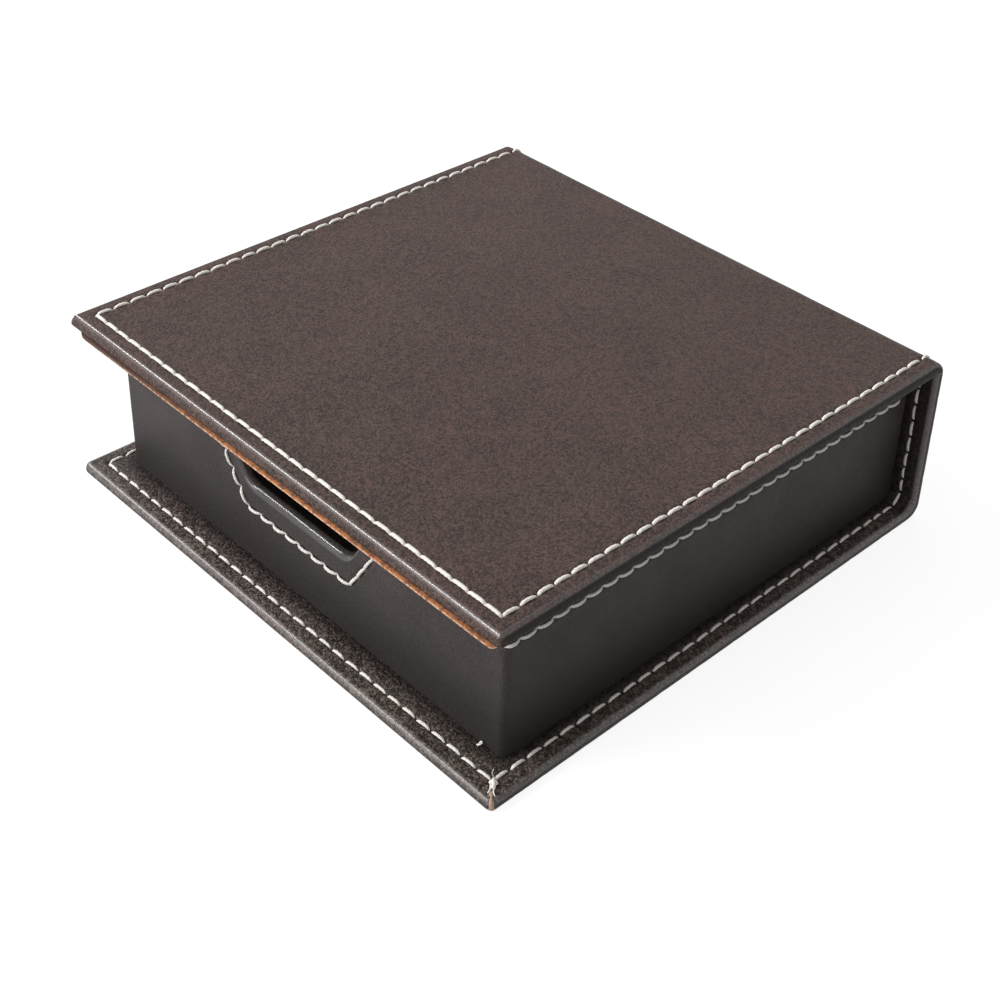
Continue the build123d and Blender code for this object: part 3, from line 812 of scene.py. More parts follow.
def cut_edge_colour(tree, place):
    """The lining's cut edge: painted shade above, bright below, frayed at its foot, darker at the left
    end.
    """
    palette = colours()
    sides = node(tree, "ShaderNodeSeparateXYZ", Vector=place).outputs
    wander = noise(tree, place, size=1.1, detail=3.0, roughness=0.6)
    wander = reckon(tree, "MULTIPLY_ADD", wander, 0.5, sides["Z"])
    foot, left = LINING_LOW.z, LINING_LOW.x
    clear_of_left_end = remap(tree, sides["X"], left + LEFT_DARK_END[0], left + LEFT_DARK_END[1])
    bright = remap(tree, wander, foot + BRIGHT_TOP[0], foot + BRIGHT_TOP[1])
    burnt = remap(tree, noise(tree, place, size=1.6, detail=4.0, roughness=0.75), 0.44, 0.56)
    bright = reckon(tree, "MULTIPLY", bright, reckon(tree, "MULTIPLY_ADD", burnt, 0.7, 0.3))
    bright = reckon(tree, "MULTIPLY", bright, clear_of_left_end)
    frayed = remap(tree, wander, foot + FRAY_TOP[0], foot + FRAY_TOP[1])
    tufts = remap(tree, noise(tree, place, size=0.9, detail=3.0, roughness=0.7), 0.45, 0.52)
    frayed = reckon(tree, "MULTIPLY", frayed, reckon(tree, "MULTIPLY_ADD", tufts, 0.85, 0.05))
    frayed = reckon(tree, "MULTIPLY", frayed, reckon(tree, "MULTIPLY_ADD", clear_of_left_end, 0.3, 0.7))
    begun = remap(tree, sides["X"], left + FRAY_START[0], left + FRAY_START[1])
    frayed = reckon(tree, "MULTIPLY", frayed, begun)
    # Where it is not bright the edge takes the dark tan: painted shade above, and darker at the left
    # end
    edge = blend_colours(tree, bright, tuple(palette.tan_fibre_and_shade), tuple(palette.tan_edge))
    return blend_colours(tree, frayed, edge, tuple(palette.fray))


def tan_finish():
    """Tan lining sheet: matt face with fine fibres, and its cut edge."""
    tan, tan_fibre_and_shade = tuple(colours().tan), tuple(colours().tan_fibre_and_shade)
    material, tree, output = fresh_material("tan_lining")
    place = millimetre_place(tree)
    fibre = noise(tree, place, size=0.3, detail=4.0, roughness=0.65)
    patches = noise(tree, place, size=9.0, detail=4.0, roughness=0.6)
    face = blend_colours(tree, remap(tree, patches, 0.3, 0.7), toned(tan, 0.8), tan)
    face = blend_colours(tree, remap(tree, fibre, 0.35, 0.65, 0.0, 0.35), face, tan_fibre_and_shade)
    trimmed = remap(tree, mesh_share(tree, "rubbed"), 0.2, 0.8)
    colour = blend_colours(tree, trimmed, face, cut_edge_colour(tree, place))
    gloss = remap(tree, fibre, 0.3, 0.7, 0.55, 0.75)
    dress(tree, output, colour, gloss, fibre, strength=0.6, depth=0.05, Specular_IOR_Level=0.35)
    return material


def flock_finish():
    """Dark flocked lining with a short soft pile."""
    colour = tuple(colours().well)
    light = tuple(min(1.0, channel * 1.9 + 0.004) for channel in colour)
    material, tree, output = fresh_material("flocked_lining")
    place = millimetre_place(tree)
    pile = noise(tree, place, size=0.22, detail=4.0, roughness=0.75)
    brushed = noise(tree, place, size=11.0, detail=3.0, roughness=0.6)
    tone = blend_colours(tree, remap(tree, pile, 0.35, 0.68), colour, light)
    tone = blend_colours(tree, remap(tree, brushed, 0.4, 0.7, 0.0, 0.4), tone, light)
    soft = {"Specular_IOR_Level": 0.1, "Sheen_Weight": 0.35, "Sheen_Roughness": 0.5}
    dress(tree, output, tone, 0.95, pile, strength=0.8, depth=0.1, **soft)
    return material


def fibre_finish(name, colour, dark, size, detail, grip, span, roughness, strength, depth):
    """A matt, fibrous stuff in two tones of one colour."""
    material, tree, output = fresh_material(name)
    place = millimetre_place(tree)
    fibre = noise(tree, place, size=size, detail=detail, roughness=grip)
    tone = blend_colours(tree, remap(tree, fibre, *span), toned(colour, dark), tuple(colour))
    dress(tree, output, tone, roughness, fibre, strength=strength, depth=depth)
    return material


def board_finish():
    """Pressed paper board with flecks."""
    board = colours().board
    return fibre_finish("pressed_board", board, 0.6, 0.6, 5.0, 0.75, (0.35, 0.6), 0.9, 0.4, 0.04)


def backing_finish():
    """Raw woven back of the leather, with loose pale fibres."""
    backing = colours().backing
    return fibre_finish("raw_backing", backing, 0.45, 0.12, 3.0, 0.7, (0.3, 0.65), 0.85, 0.8, 0.05)


CASE_GRAIN = {
    "grain": 0.42,
    "depth": 0.07,
    "contrast": 0.68,
    "sharpness": 1.0,
    "roughness": 0.48,
    "specular": 0.2,
    "rub": 0.15,
    "mottle": 0.1,
    "stain": (0.8, 1.0, 0.86),
}
TRAY_GRAIN = {
    "grain": 0.36,
    "depth": 0.02,
    "contrast": 0.35,
    "sharpness": 0.0,
    "roughness": 0.5,
    "specular": 0.1,
    "rub": 0.2,
    "mottle": 0.25,
    "stain": (0.85, 1.0, 0.9),
}


def finish_named(name):
    """A material by name, made when it is first needed."""
    if name in bpy.data.materials:
        return bpy.data.materials[name]
    palette = colours()
    case = palette.case, palette.case_light, palette.case_low
    tray = palette.tray, palette.tray_light, palette.tray_shaded_foot
    makers = {
        "pebbled_leather": lambda: pebble_leather(name, case, **CASE_GRAIN, coat=0.2),
        "pebbled_leather_soft": lambda: pebble_leather(name, case, **CASE_GRAIN, coat=0.32),
        "smooth_leather": lambda: pebble_leather(name, tray, **TRAY_GRAIN, coat=0.2),
        "waxed_thread": thread_finish,
        "tan_lining": tan_finish,
        "flocked_lining": flock_finish,
        "pressed_board": board_finish,
        "raw_backing": backing_finish,
    }
    return makers[name]()


def settle(piece, body, slot, *nodes):
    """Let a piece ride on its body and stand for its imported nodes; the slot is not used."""
    if body:
        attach(piece, body)
    if nodes:
        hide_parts(*nodes)


# Seam rows, each as the two ends of a straight line on its flat surface


def case_rows(fold):
    """Seam of the base and spine, on the flat case."""
    inset = seam_sizes().inset / MM
    side = fold.half - inset
    top = fold.spine_cut
    return [
        ((-side, top), (-side, inset)),
        ((-side, inset), (side, inset)),
        ((side, inset), (side, top)),
    ]


def lid_rows(fold):
    """Seam of the lid, on the flat case."""
    inset = seam_sizes().inset / MM
    side = fold.half - inset
    front = fold.lid_end - inset
    return [
        ((-side, fold.lid_cut), (-side, front)),
        ((-side, front), (side, front)),
        ((side, front), (side, fold.lid_cut)),
    ]


# How far the tray's seam rows stop short of the spine outside and of the corners inside, and how
# near a place has to be to count as on a wall, in millimetres
OUTER_SEAM_GAP = 1.9
INNER_SEAM_GAP = 1.95
TOUCH = 0.01


class Tray:
    """The note tray's sizes and its flat outside, measured round from the front's middle."""

    def __init__(self):
        size = tray_sizes()
        self.half = TRAY_HIGH.x
        self.front = TRAY_LOW.y
        self.back = TRAY_HIGH.y
        self.foot = TRAY_LOW.z
        self.rim = TRAY_HIGH.z
        self.wall = size.wall / MM
        self.rear = size.rear_wall / MM
        self.corner = size.corner_radius / MM
        self.rim_radius = size.rim_radius / MM
        self.lip_radius = size.lip_radius / MM
        self.leather = size.leather / MM
        self.lean = size.notch_lean
        self.notch_floor = self.rim - size.notch_depth / MM
        self.notch_half = size.notch_half_width / MM
        self.notch_corner = size.notch_corner / MM
        self.seam = self.rim - size.rim_seam_drop / MM
        self.seam_low = self.notch_floor - size.notch_seam_floor / MM
        side = size.notch_seam_side / MM
        self.seam_low_half = self.notch_width(self.seam_low) + side
        self.seam_high_half = self.notch_width(self.seam) + side
        self.turn_in = size.turn_in / MM
        self.straight = self.half - self.corner
        self.arc = self.corner * math.pi / 2
        self.reach = self.straight + self.arc + self.back - self.front - self.corner

    def notch_width(self, height):
        """Half the notch's width at a height."""
        return self.notch_half + self.lean * (height - self.notch_floor)

    def top(self, across):
        """Height of the wall's top edge across the front, which dips at the notch."""
        away = np.abs(across)
        slope = math.hypot(1, self.lean)
        tangent = self.notch_corner * (slope - self.lean)
        middle = self.notch_half - tangent
        arc_end = self.notch_half + tangent * self.lean / slope
        inside = np.clip(away - middle, 0, self.notch_corner)
        arc = self.notch_floor + self.notch_corner - np.sqrt(self.notch_corner**2 - inside**2)
        line = self.notch_floor + (away - self.notch_half) / self.lean
        height = np.where(away < middle, self.notch_floor, np.where(away < arc_end, arc, line))
        return np.minimum(height, self.rim)

    def outside(self, round_front, height, above):
        """A place above the outside, at a distance round from the front's middle."""
        round_front, height, above = np.broadcast_arrays(
            np.asarray(round_front, float), np.asarray(height, float), np.asarray(above, float)
        )
        away = np.abs(round_front)
        sign = np.sign(round_front)
        turn = np.clip((away - self.straight) / self.corner, 0, math.pi / 2)
        radius = self.corner + above
        past = np.maximum(away - self.straight - self.arc, 0)
        on_front = away <= self.straight
        x = np.where(on_front, round_front, sign * (self.straight + radius * np.sin(turn)))
        side_y = self.front + self.corner - radius * np.cos(turn) + past
        y = np.where(on_front, self.front - above, side_y)
        return np.stack([x, y, height], axis=-1)

    def way_round(self, x, y):
        """How far round from the front's middle places on the outside are, and what they lie on."""
        on_side = (np.abs(x) > self.half - TOUCH) & (y > self.front + self.corner)
        on_front = y < self.front + TOUCH
        on_corner = ~on_side & ~on_front & (y < self.front + self.corner + TOUCH)
        turn = np.arctan2(np.abs(x) - self.straight, self.front + self.corner - y)
        side = np.sign(x) * (self.straight + self.arc + y - self.front - self.corner)
        corner = np.sign(x) * (self.straight + self.corner * turn)
        distance = np.where(on_front, x, np.where(on_side, side, corner))
        return distance, on_front, on_side, on_corner

    def notched_row(self, end):
        """Seam rows from one end to the other, which dip round the notch."""
        low, high = (self.seam_low_half, self.seam_low), (self.seam_high_half, self.seam)
        right = [low, high, (end, self.seam)]
        points = [(-across, height) for across, height in reversed(right)] + right
        return list(zip(points[:-1], points[1:]))

    def outer_rows(self):
        """Seam rows round the outside."""
        return self.notched_row(self.reach - OUTER_SEAM_GAP)

    def inner_rows(self):
        """Seam rows across the inside of the front wall."""
        return self.notched_row(self.half - self.wall - INNER_SEAM_GAP)

    def side_rows(self):
        """Seam row along the inside of a side wall, from front to back."""
        start = self.front + self.wall + INNER_SEAM_GAP
        return [((start, self.seam), (self.back - self.rear - INNER_SEAM_GAP, self.seam))]

    def turn_in_end(self, across):
        """Height at which the turned-in leather ends inside the front wall."""
        away = np.abs(across)
        wide = self.turn_in * 1.2
        low = self.seam_low - self.turn_in
        low_half = self.seam_low_half + wide - self.turn_in * self.lean
        line = low + (away - low_half) / self.lean
        return np.clip(line, low, self.seam - self.turn_in)


# Painted shade: how much darker the base is where the tray stands on it, and how far that reaches in
# millimetres
FOOT_SHADE = 0.62
FOOT_SHADE_REACH = 3.2


class NOTEBOX_OT_case_leather(bpy.types.Operator):
    """Make the leather of the base and the spine"""

    bl_idname = "notebox.case_leather"
    bl_label = "Base and spine leather"

    def execute(self, context):
        fold, tray = Fold(), Tray()
        rows = case_rows(fold)
        rise = case_sizes().undulation / MM

        def surface(across, along, depth):
            flat = (depth < FLUSH) | (depth > 1 - FLUSH)
            wave = ripple(across, along, 9.0)
            move = np.where(flat, -seam_dip(across, along, rows), 0)
            move = move + rise * np.where(depth > 0.5, wave, 0.5 * (wave - 1))
            return beaded(fold, across, along, depth, move, 0.05)

        # Painted shade: darker on the base beside the tray's foot, on the rolled sides and inside the
        # spine
        def shade(across, along, depth):
            beside = np.abs(across) - tray.half
            before = tray.front - BASE_LOW.y - along
            gap = np.hypot(np.maximum(beside, 0), np.maximum(before, 0))
            inside = depth > 0.9
            foot = inside * FOOT_SHADE * ease(1 - gap / FOOT_SHADE_REACH)
            spine = ease((along - fold.foot_start + 4) / 6)
            rolled = side_shade(across, depth, fold.half, CASE_BEVEL) * behind_front(along)
            return np.maximum(foot, rolled * np.where(inside, spine, 1.0))

        shape = Shape()
        panel(
            shape,
            surface,
            fold.half,
            fold.spine_cut,
            (case_sizes().base_corner / MM,) * 2,
            edge_profile(fold.base, CASE_BEVEL),
            CASE_STEPS,
            CASE_BEVEL,
            shade=shade,
        )
        piece = shape.build("case_leather_panel", finish_named("pebbled_leather_soft"))
        settle(piece, "case", "case_leather", "base_cover", "spine_cover")
        return {"FINISHED"}


class NOTEBOX_OT_lid_leather(bpy.types.Operator):
    """Make the leather of the lid"""

    bl_idname = "notebox.lid_leather"
    bl_label = "Lid leather"

    def execute(self, context):
        fold = Fold()
        rows = lid_rows(fold)
        rise = case_sizes().undulation / MM

        def surface(across, from_front, depth):
            along = fold.lid_end - from_front
            move = rise * ripple(across, along, 9.0) - seam_dip(across, along, rows)
            move = np.where(depth < FLUSH, move, 0)
            return beaded(fold, across, along, depth, move, 0.04)

        # Painted shade on the lid's rolled sides
        def shade(across, from_front, depth):
            rolled = side_shade(across, depth, fold.half, LID_BEVEL)
            return rolled * behind_front(from_front)

        shape = Shape()
        panel(
            shape,
            surface,
            fold.half,
            fold.lid_end - fold.lid_cut,
            (case_sizes().lid_corner / MM,) * 2,
            edge_profile(fold.lid, LID_BEVEL),
            LID_STEPS,
            LID_BEVEL,
            shade=shade,
        )
        piece = shape.build("lid_leather_panel", finish_named("pebbled_leather"))
        settle(piece, "lid", "case_leather", "lid_cover")
        return {"FINISHED"}


# Loops across the hinge strip
HINGE_STEPS = 34


def cross_section(half, thickness, bevel):
    """Places across a panel's whole section, as a closed loop of across, depth and marks."""
    profile = edge_profile(thickness, bevel)
    insets, depths = profile[:, 0], profile[:, 1]
    front_steps = LID_STEPS[1]
    columns = np.arange(0, front_steps + 1, MIDDLE_STRIDE)[1:-1]
    middle = (half - insets[0]) * (2 * columns / front_steps - 1)
    across = np.concatenate([-(half - insets), middle, (half - insets)[::-1], middle[::-1]])
    depth = np.concatenate([depths, np.ones(len(middle)), depths[::-1], np.zeros(len(middle))])
    mark = edge_marks(insets, depths, bevel)
    nothing = np.zeros(len(middle))
    return across, depth, np.concatenate([mark, nothing, mark[::-1], nothing])


class NOTEBOX_OT_hinge(bpy.types.Operator):
    """Make the leather hinge and its stitches, curved round between the case and the lid"""

    bl_idname = "notebox.hinge"
    bl_label = "Hinge leather and thread"

    def execute(self, context):
        fold = Fold()
        share = ease(np.arange(HINGE_STEPS + 1) / HINGE_STEPS)
        bevels = CASE_BEVEL + (LID_BEVEL - CASE_BEVEL) * share
        loops = [cross_section(fold.half, fold.lid, float(bevel)) for bevel in bevels]
        across, depth, marks = (np.array(grid) for grid in zip(*loops))
        along = np.linspace(fold.spine_cut, fold.lid_cut, HINGE_STEPS + 1)[:, None] + 0 * across
        rows = hinge_rows(fold)
        middle = 1 - np.abs(2 * (along - fold.spine_cut) / (fold.lid_cut - fold.spine_cut) - 1)
        dip = np.where(depth < FLUSH, seam_dip(across, along, rows), 0)
        crease = 0.03 * ripple(across, along * 6, 5.0) * ease(middle * 2)
        out = np.where(depth > 0.5, 1.0, -1.0)
        places = fold.place(across, along, depth + out * (crease - dip) / fold.lid)
        shape = Shape()
        # The hinge takes the rolled sides' painted shade, and the spine's inside fading towards the
        # lid
        numbers = shape.add(places, marks, side_shade(across, depth, fold.half, bevels[:, None]))
        shape.strip(numbers, closed=True)
        shape.face(numbers[0][::-1])
        shape.face(numbers[-1])
        leather = shape.build("hinge_leather_strip", finish_named("pebbled_leather"))

        stitch = Stitch(seam_sizes().lid_thread, fill=0.9, lift=0.5, arch=2.8, point=0.45)
        shape = tube_stitches(rows, fold.outside, stitch, random.Random(seam_sizes().seed + 3))
        thread = shape.build("hinge_stitches", finish_named("waxed_thread"))

        for piece, slot, name in (
            (leather, "case_leather", "hinge_leather"),
            (thread, "thread", "hinge_thread"),
        ):
            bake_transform(piece)
            settle(piece, None, slot, name)
        return {"FINISHED"}


def hinge_rows(fold):
    """The seam that crosses the hinge, one stitch on each side."""
    side = fold.half - seam_sizes().inset / MM
    low, high = fold.spine_cut + 1.3, fold.lid_cut - 0.6
    return [((-side, low), (-side, high)), ((side, low), (side, high))]


# Insets of the lining's two faces and depths down its cut edge
LINING_INSETS = (
    6.5, 5.4, 4.6, 3.9, 3.5, 3.2, 2.9, 2.6, 2.3, 1.9, 1.5, 1.1, 0.8, 0.5, 0.3, 0.16, 0.07, 0.02,
)
LINING_DEPTHS = (0.1, 0.25, 0.4, 0.55, 0.7, 0.85, 0.95)


class NOTEBOX_OT_lid_lining(bpy.types.Operator):
    """Make the tan sheet under the lid"""

    bl_idname = "notebox.lid_lining"
    bl_label = "Lid lining"

    def execute(self, context):
        fold = Fold()
        inset = seam_sizes().inset / MM
        side, front = fold.half - inset, LID_LOW.y + inset
        rows = [
            ((-side, LID_HIGH.y), (-side, front)),
            ((-side, front), (side, front)),
            ((side, front), (side, LID_HIGH.y)),
        ]
        thickness = LINING_HIGH.z - LINING_LOW.z

        def surface(across, from_front, depth):
            y = LINING_LOW.y + from_front
            face = depth < FLUSH
            dip = np.where(face, seam_dip(across, y, rows, 0.7), 0)
            swell = np.where(face, 0.03 * ripple(across, y, 12.0), 0)
            ragged = 0.05 * (ripple(across * 2, y * 2, 1.6) - 0.6)
            trim = np.where(face | (depth > 1 - FLUSH), 0, ragged)
            z = LINING_LOW.z + thickness * depth + dip + swell + 0.02
            y = y - np.minimum(trim, 0) - 0.45 * ease(1 - from_front / 3)
            return np.stack([across, y, np.minimum(z, LID_LOW.z - 0.01)], axis=-1)

        profile = [(inset, 0.0) for inset in LINING_INSETS]
        profile += [(0.0, depth) for depth in LINING_DEPTHS]
        profile += [(inset, 1.0) for inset in reversed(LINING_INSETS)]
        profile = np.array(profile)
        shape = Shape()
        panel(
            shape,
            surface,
            LINING_HIGH.x,
            LINING_HIGH.y - LINING_LOW.y,
            (case_sizes().lining_left / MM, case_sizes().lining_right / MM),
            profile,
            LID_STEPS,
            marks=(profile[:, 1] > 0).astype(float),
        )
        piece = shape.build("lid_lining_sheet", finish_named("tan_lining"))
        settle(piece, "lid", "lid_lining", "lid_lining")
        return {"FINISHED"}


# Steps along the tray's front, each side and rear, and round each front corner
FRONT_STEPS = 270
SIDE_STEPS = 240
REAR_STEPS = 60
ARC_STEPS = 10


def tray_loop(tray, inset):
    """One loop round the tray at an inset from its outside: X, Y and whether it is on the front."""
    rounding = np.maximum(tray.corner - inset, 0)
    side = tray.half - inset
    straight = side - rounding
    front = tray.front + inset
    side_start = front + rounding
    back = tray.back - inset * tray.rear / tray.wall
    side_shares = [step / SIDE_STEPS for step in range(1, SIDE_STEPS + 1)]
    turns = [math.pi / 2 * step / ARC_STEPS for step in range(1, ARC_STEPS + 1)]
    points = [(straight * (2 * step / FRONT_STEPS - 1), front) for step in range(FRONT_STEPS + 1)]
    for turn in turns:
        y = front + rounding - rounding * math.cos(turn)
        points.append((straight + rounding * math.sin(turn), y))
    points += [(side, side_start + (back - side_start) * share) for share in side_shares]
    points += [(side * (1 - 2 * step / REAR_STEPS), back) for step in range(1, REAR_STEPS + 1)]
    points += [(-side, back + (side_start - back) * share) for share in side_shares]
    for turn in turns[:-1]:
        y = front + rounding - rounding * math.sin(turn)
        points.append((-straight - rounding * math.cos(turn), y))
    x, y = np.array(points, float).T
    return x, y, np.arange(len(points)) <= FRONT_STEPS


def loop_at(tray, insets):
    """One loop round the tray whose inset changes on the way."""
    x, y = np.zeros(len(insets)), np.zeros(len(insets))
    for level in np.unique(np.round(insets, 6)):
        chosen = np.abs(insets - level) < 1e-5
        loop_x, loop_y, _ = tray_loop(tray, float(level))
        x[chosen], y[chosen] = loop_x[chosen], loop_y[chosen]
    return x, y


# Heights of the rows up the tray's outside, as shares of the way, closest where the seams run
ROWS_UP = (0, 0.04, 0.1, 0.17, 0.24, 0.3, *np.linspace(0.33, 0.86, 34), 0.9, 0.94, 0.97, 1.0)


def wall_section(tray):
    """The leather's way up, over and down a wall: for each row its kind, insets and heights."""
    probe, _, on_front = tray_loop(tray, 0.0)
    top = np.where(on_front, tray.top(probe), tray.rim)
    lip = tray.rim_radius + (tray.lip_radius - tray.rim_radius) * ease((tray.rim - top) / 4)
    inner_lip = 0.6 * lip + 0.2
    end = np.where(on_front, tray.turn_in_end(probe), tray.seam - tray.turn_in)
    end = np.minimum(end, top - inner_lip - 1)
    rows = [("outer", 0.0, tray.foot + (top - lip - tray.foot) * share) for share in ROWS_UP]
    for turn in np.linspace(0, math.pi / 2, 9)[1:]:
        rows.append(("lip", lip * (1 - math.cos(turn)), top - lip + lip * math.sin(turn)))
    for share in (0.25, 0.5, 0.75):
        rows.append(("top", lip + (tray.wall - lip - inner_lip) * share, top))
    for turn in np.linspace(0, math.pi / 2, 7):
        inset = tray.wall - inner_lip + inner_lip * math.sin(turn)
        rows.append(("inner_lip", inset, top - inner_lip + inner_lip * math.cos(turn)))
    for share in np.linspace(0, 1, 26)[1:]:
        rows.append(("inner", tray.wall, top - inner_lip + (end - top + inner_lip) * share))
    behind = tray.wall - tray.leather
    rows += [("end", behind, end), ("under", behind, top - tray.leather)]
    rows += [("under", tray.leather, top - tray.leather), ("under", tray.leather, tray.foot)]
    return [(kind, inset + 0 * top, z + 0 * top) for kind, inset, z in rows]


class NOTEBOX_OT_tray_leather(bpy.types.Operator):
    """Make the leather of the tray, over its rim and round its notch"""

    bl_idname = "notebox.tray_leather"
    bl_label = "Tray leather"

    def execute(self, context):
        tray = Tray()
        outer, inner, side = tray.outer_rows(), tray.inner_rows(), tray.side_rows()
        inner_front = tray.front + tray.wall
        places, marks, shades = [], [], []
        for kind, inset, z in wall_section(tray):
            x, y = loop_at(tray, inset)
            if kind == "outer":
                distance, on_front, on_side, on_corner = tray.way_round(x, y)
                swell = 0.03 * ripple(distance, z, 8.0) * ease((z - tray.foot) / 4)
                move = seam_dip(distance, z, outer) - swell
                y = np.where(on_front, y + move, y)
                x = np.where(on_side, x - np.sign(x) * move, x)
                x = np.where(on_corner, x - np.sign(x) * move * 0.7, x)
                y = np.where(on_corner, y + move * 0.7, y)
            if kind == "inner":
                on_front = y < inner_front + TOUCH
                on_side = (np.abs(x) > tray.half - tray.wall - TOUCH) & ~on_front
                y = np.where(on_front, y - seam_dip(x, z, inner), y)
                x = np.where(on_side, x + np.sign(x) * seam_dip(y, z, side), x)
            # Painted shade: full on the walls' inside and the notch's top, less on the rest of the
            # rim's top
            shade = 0.0 if kind in ("outer", "lip") else 1.0
            if kind in ("top", "inner_lip"):
                below_rim = ease((tray.rim - tray.top(x) - 0.5) / 3) * (y < inner_front + 0.1)
                shade = np.maximum(0.3, below_rim)
            places.append(np.stack([x, y, z], axis=-1))
            marks.append(np.full(len(x), 0.9 if kind == "lip" else 0.0))
            shades.append(shade + 0 * x)
        shape = Shape()
        numbers = shape.add(places, marks, shades)
        numbers = np.concatenate([numbers, numbers[:1]], axis=0)
        shape.strip(numbers, closed=True)
        piece = shape.build("tray_leather_wrap", finish_named("smooth_leather"))
        settle(piece, "case", "tray_leather", "tray_wrap", "notch_facing")
        return {"FINISHED"}


# The well's lining, in millimetres: the rounding at its foot, how far its face lies behind that of
# the turned-in leather, its thickness, its top edge's rounding and how far it goes up behind it
WELL_FILLET = 1.1
WELL_RECESS = 0.06
WELL_THICKNESS = 0.45
WELL_TOP = 0.12
WELL_LAP = 0.8


class NOTEBOX_OT_well_lining(bpy.types.Operator):
    """Make the flocked lining inside the tray"""

    bl_idname = "notebox.well_lining"
    bl_label = "Well lining"

    def execute(self, context):
        tray = Tray()
        probe, _, on_front = tray_loop(tray, tray.wall)
        top = np.where(on_front, tray.turn_in_end(probe), tray.seam - tray.turn_in) + WELL_LAP
        face, start = tray.wall - WELL_RECESS, WELL_HIGH.z + WELL_FILLET
        section = [(face - WELL_THICKNESS, top), (face - 0.1, top), (face, top - WELL_TOP)]
        for share in np.linspace(0.05, 1, 14):
            section.append((face, top - WELL_TOP + (start - top + WELL_TOP) * share))
        for turn in np.linspace(0, math.pi / 2, 7)[1:]:
            inset = face + WELL_FILLET * (1 - math.cos(turn))
            section.append((inset, start - WELL_FILLET * math.sin(turn) + 0 * top))
        places = []
        for inset, z in section:
            x, y, _ = tray_loop(tray, inset)
            wave = 0.03 * ripple(x + y, z, 7.0)
            places.append(np.stack([x - np.sign(x) * wave, y, z], axis=-1))
        for inset in (face + 2.0, face - WELL_THICKNESS):
            x, y, _ = tray_loop(tray, inset)
            places.append(np.stack([x, y, WELL_LOW.z + 0 * top], axis=-1))
        shape = Shape()
        numbers = shape.add(np.array(places))
        floor_ring, under_ring, outer_ring = numbers[-3:]
        shape.strip(numbers[:-2], closed=True)
        shape.strip(np.stack([outer_ring, numbers[0]]), closed=True)
        shape.strip(np.stack([under_ring, outer_ring]), closed=True)
        shape.face(floor_ring)
        shape.face(under_ring[::-1])
        piece = shape.build("well_lining_shell", finish_named("flocked_lining"), 60)
        settle(
            piece,
            "case",
            "well_lining",
            "tray_floor_lining",
            "tray_front_lining",
            "tray_rear_lining",
            "tray_left_lining",
            "tray_right_lining",
        )
        return {"FINISHED"}


class NOTEBOX_OT_case_stitches(bpy.types.Operator):
    """Sew the base and the spine, inside and outside"""

    bl_idname = "notebox.case_stitches"
    bl_label = "Base and spine stitches"

    def execute(self, context):
        fold, size = Fold(), seam_sizes()

        def under(across, along, above):
            return fold.outside(across, along, np.minimum(above, -0.02))

        inner = "case_stitches_inside", ("base_thread_upper", "spine_thread_inner")
        outer = "case_stitches_outside", ("base_thread_lower", "spine_thread_outer")
        for (name, nodes), surface, lift, start in (
            (inner, fold.inside, 0.5, 0),
            (outer, under, 0.42, 1),
        ):
            stitch = Stitch(size.case_thread, fill=0.86, lift=lift, slant=2.0)
            seam = tube_stitches(case_rows(fold), surface, stitch, random.Random(size.seed + start))
            settle(seam.build(name, finish_named("waxed_thread")), "case", "thread", *nodes)
        return {"FINISHED"}


class NOTEBOX_OT_lid_stitches(bpy.types.Operator):
    """Sew the lid, above and below"""

    bl_idname = "notebox.lid_stitches"
    bl_label = "Lid stitches"

    def execute(self, context):
        fold, size = Fold(), seam_sizes()
        rows = lid_rows(fold)
        left, front, right = rows
        generator = random.Random(size.seed + 4)
        stitch = Stitch(size.lid_thread, fill=1.05, lift=0.5, arch=6.0, point=0.2)
        above = tube_stitches([front], fold.outside, stitch, generator)
        stitch = Stitch(size.lid_thread, fill=0.93, lift=0.5, arch=2.8, slant=3.0, point=0.45)
        tube_stitches([left, right], fold.outside, stitch, generator, above)
        piece = above.build("lid_stitches_above", finish_named("waxed_thread"))
        settle(piece, "lid", "thread", "lid_thread_upper")

        def beneath(across, along, height):
            y = fold.hinge_y - (along - fold.hinge_end)
            z = LINING_LOW.z - np.minimum(height, 0.0)
            return np.stack([across, y + 0 * height, z], axis=-1)

        stitch = Stitch(size.lid_thread, fill=0.93, lift=0.42, slant=3.0)
        below = tube_stitches(rows, beneath, stitch, random.Random(size.seed + 5))
        piece = below.build("lid_stitches_below", finish_named("waxed_thread"))
        settle(piece, "lid", "thread", "lid_thread_lower")
        return {"FINISHED"}


class NOTEBOX_OT_tray_stitches(bpy.types.Operator):
    """Sew the tray's rim and notch, outside and inside"""

    bl_idname = "notebox.tray_stitches"
    bl_label = "Tray stitches"

    def execute(self, context):
        tray, size = Tray(), seam_sizes()
        stitch = Stitch(size.tray_thread, fill=0.99, lift=0.72, arch=2.4, slant=1.0, point=0.25)
        outer = tube_stitches(tray.outer_rows(), tray.outside, stitch, random.Random(size.seed + 6))
        piece = outer.build("tray_stitches_outside", finish_named("waxed_thread"))
        settle(piece, "case", "thread", "tray_thread_outer")

        def inside_front(across, height, above):
            return np.stack([across, tray.front + tray.wall + above, height + 0 * above], axis=-1)

        stitch = Stitch(size.tray_thread, fill=0.95, lift=0.5, slant=4.0)
        inner = tube_stitches(tray.inner_rows(), inside_front, stitch, random.Random(size.seed + 7))
        for side in (-1, 1):

            def inside_side(along, height, above, side=side):
                x = side * (tray.half - tray.wall - above)
                return np.stack([x, along + 0 * above, height + 0 * above], axis=-1)

            generator = random.Random(size.seed + 8 + side)
            tube_stitches(tray.side_rows(), inside_side, stitch, generator, inner)
        piece = inner.build("tray_stitches_inside", finish_named("waxed_thread"))
        settle(piece, "case", "thread", "tray_thread_inner")
        return {"FINISHED"}


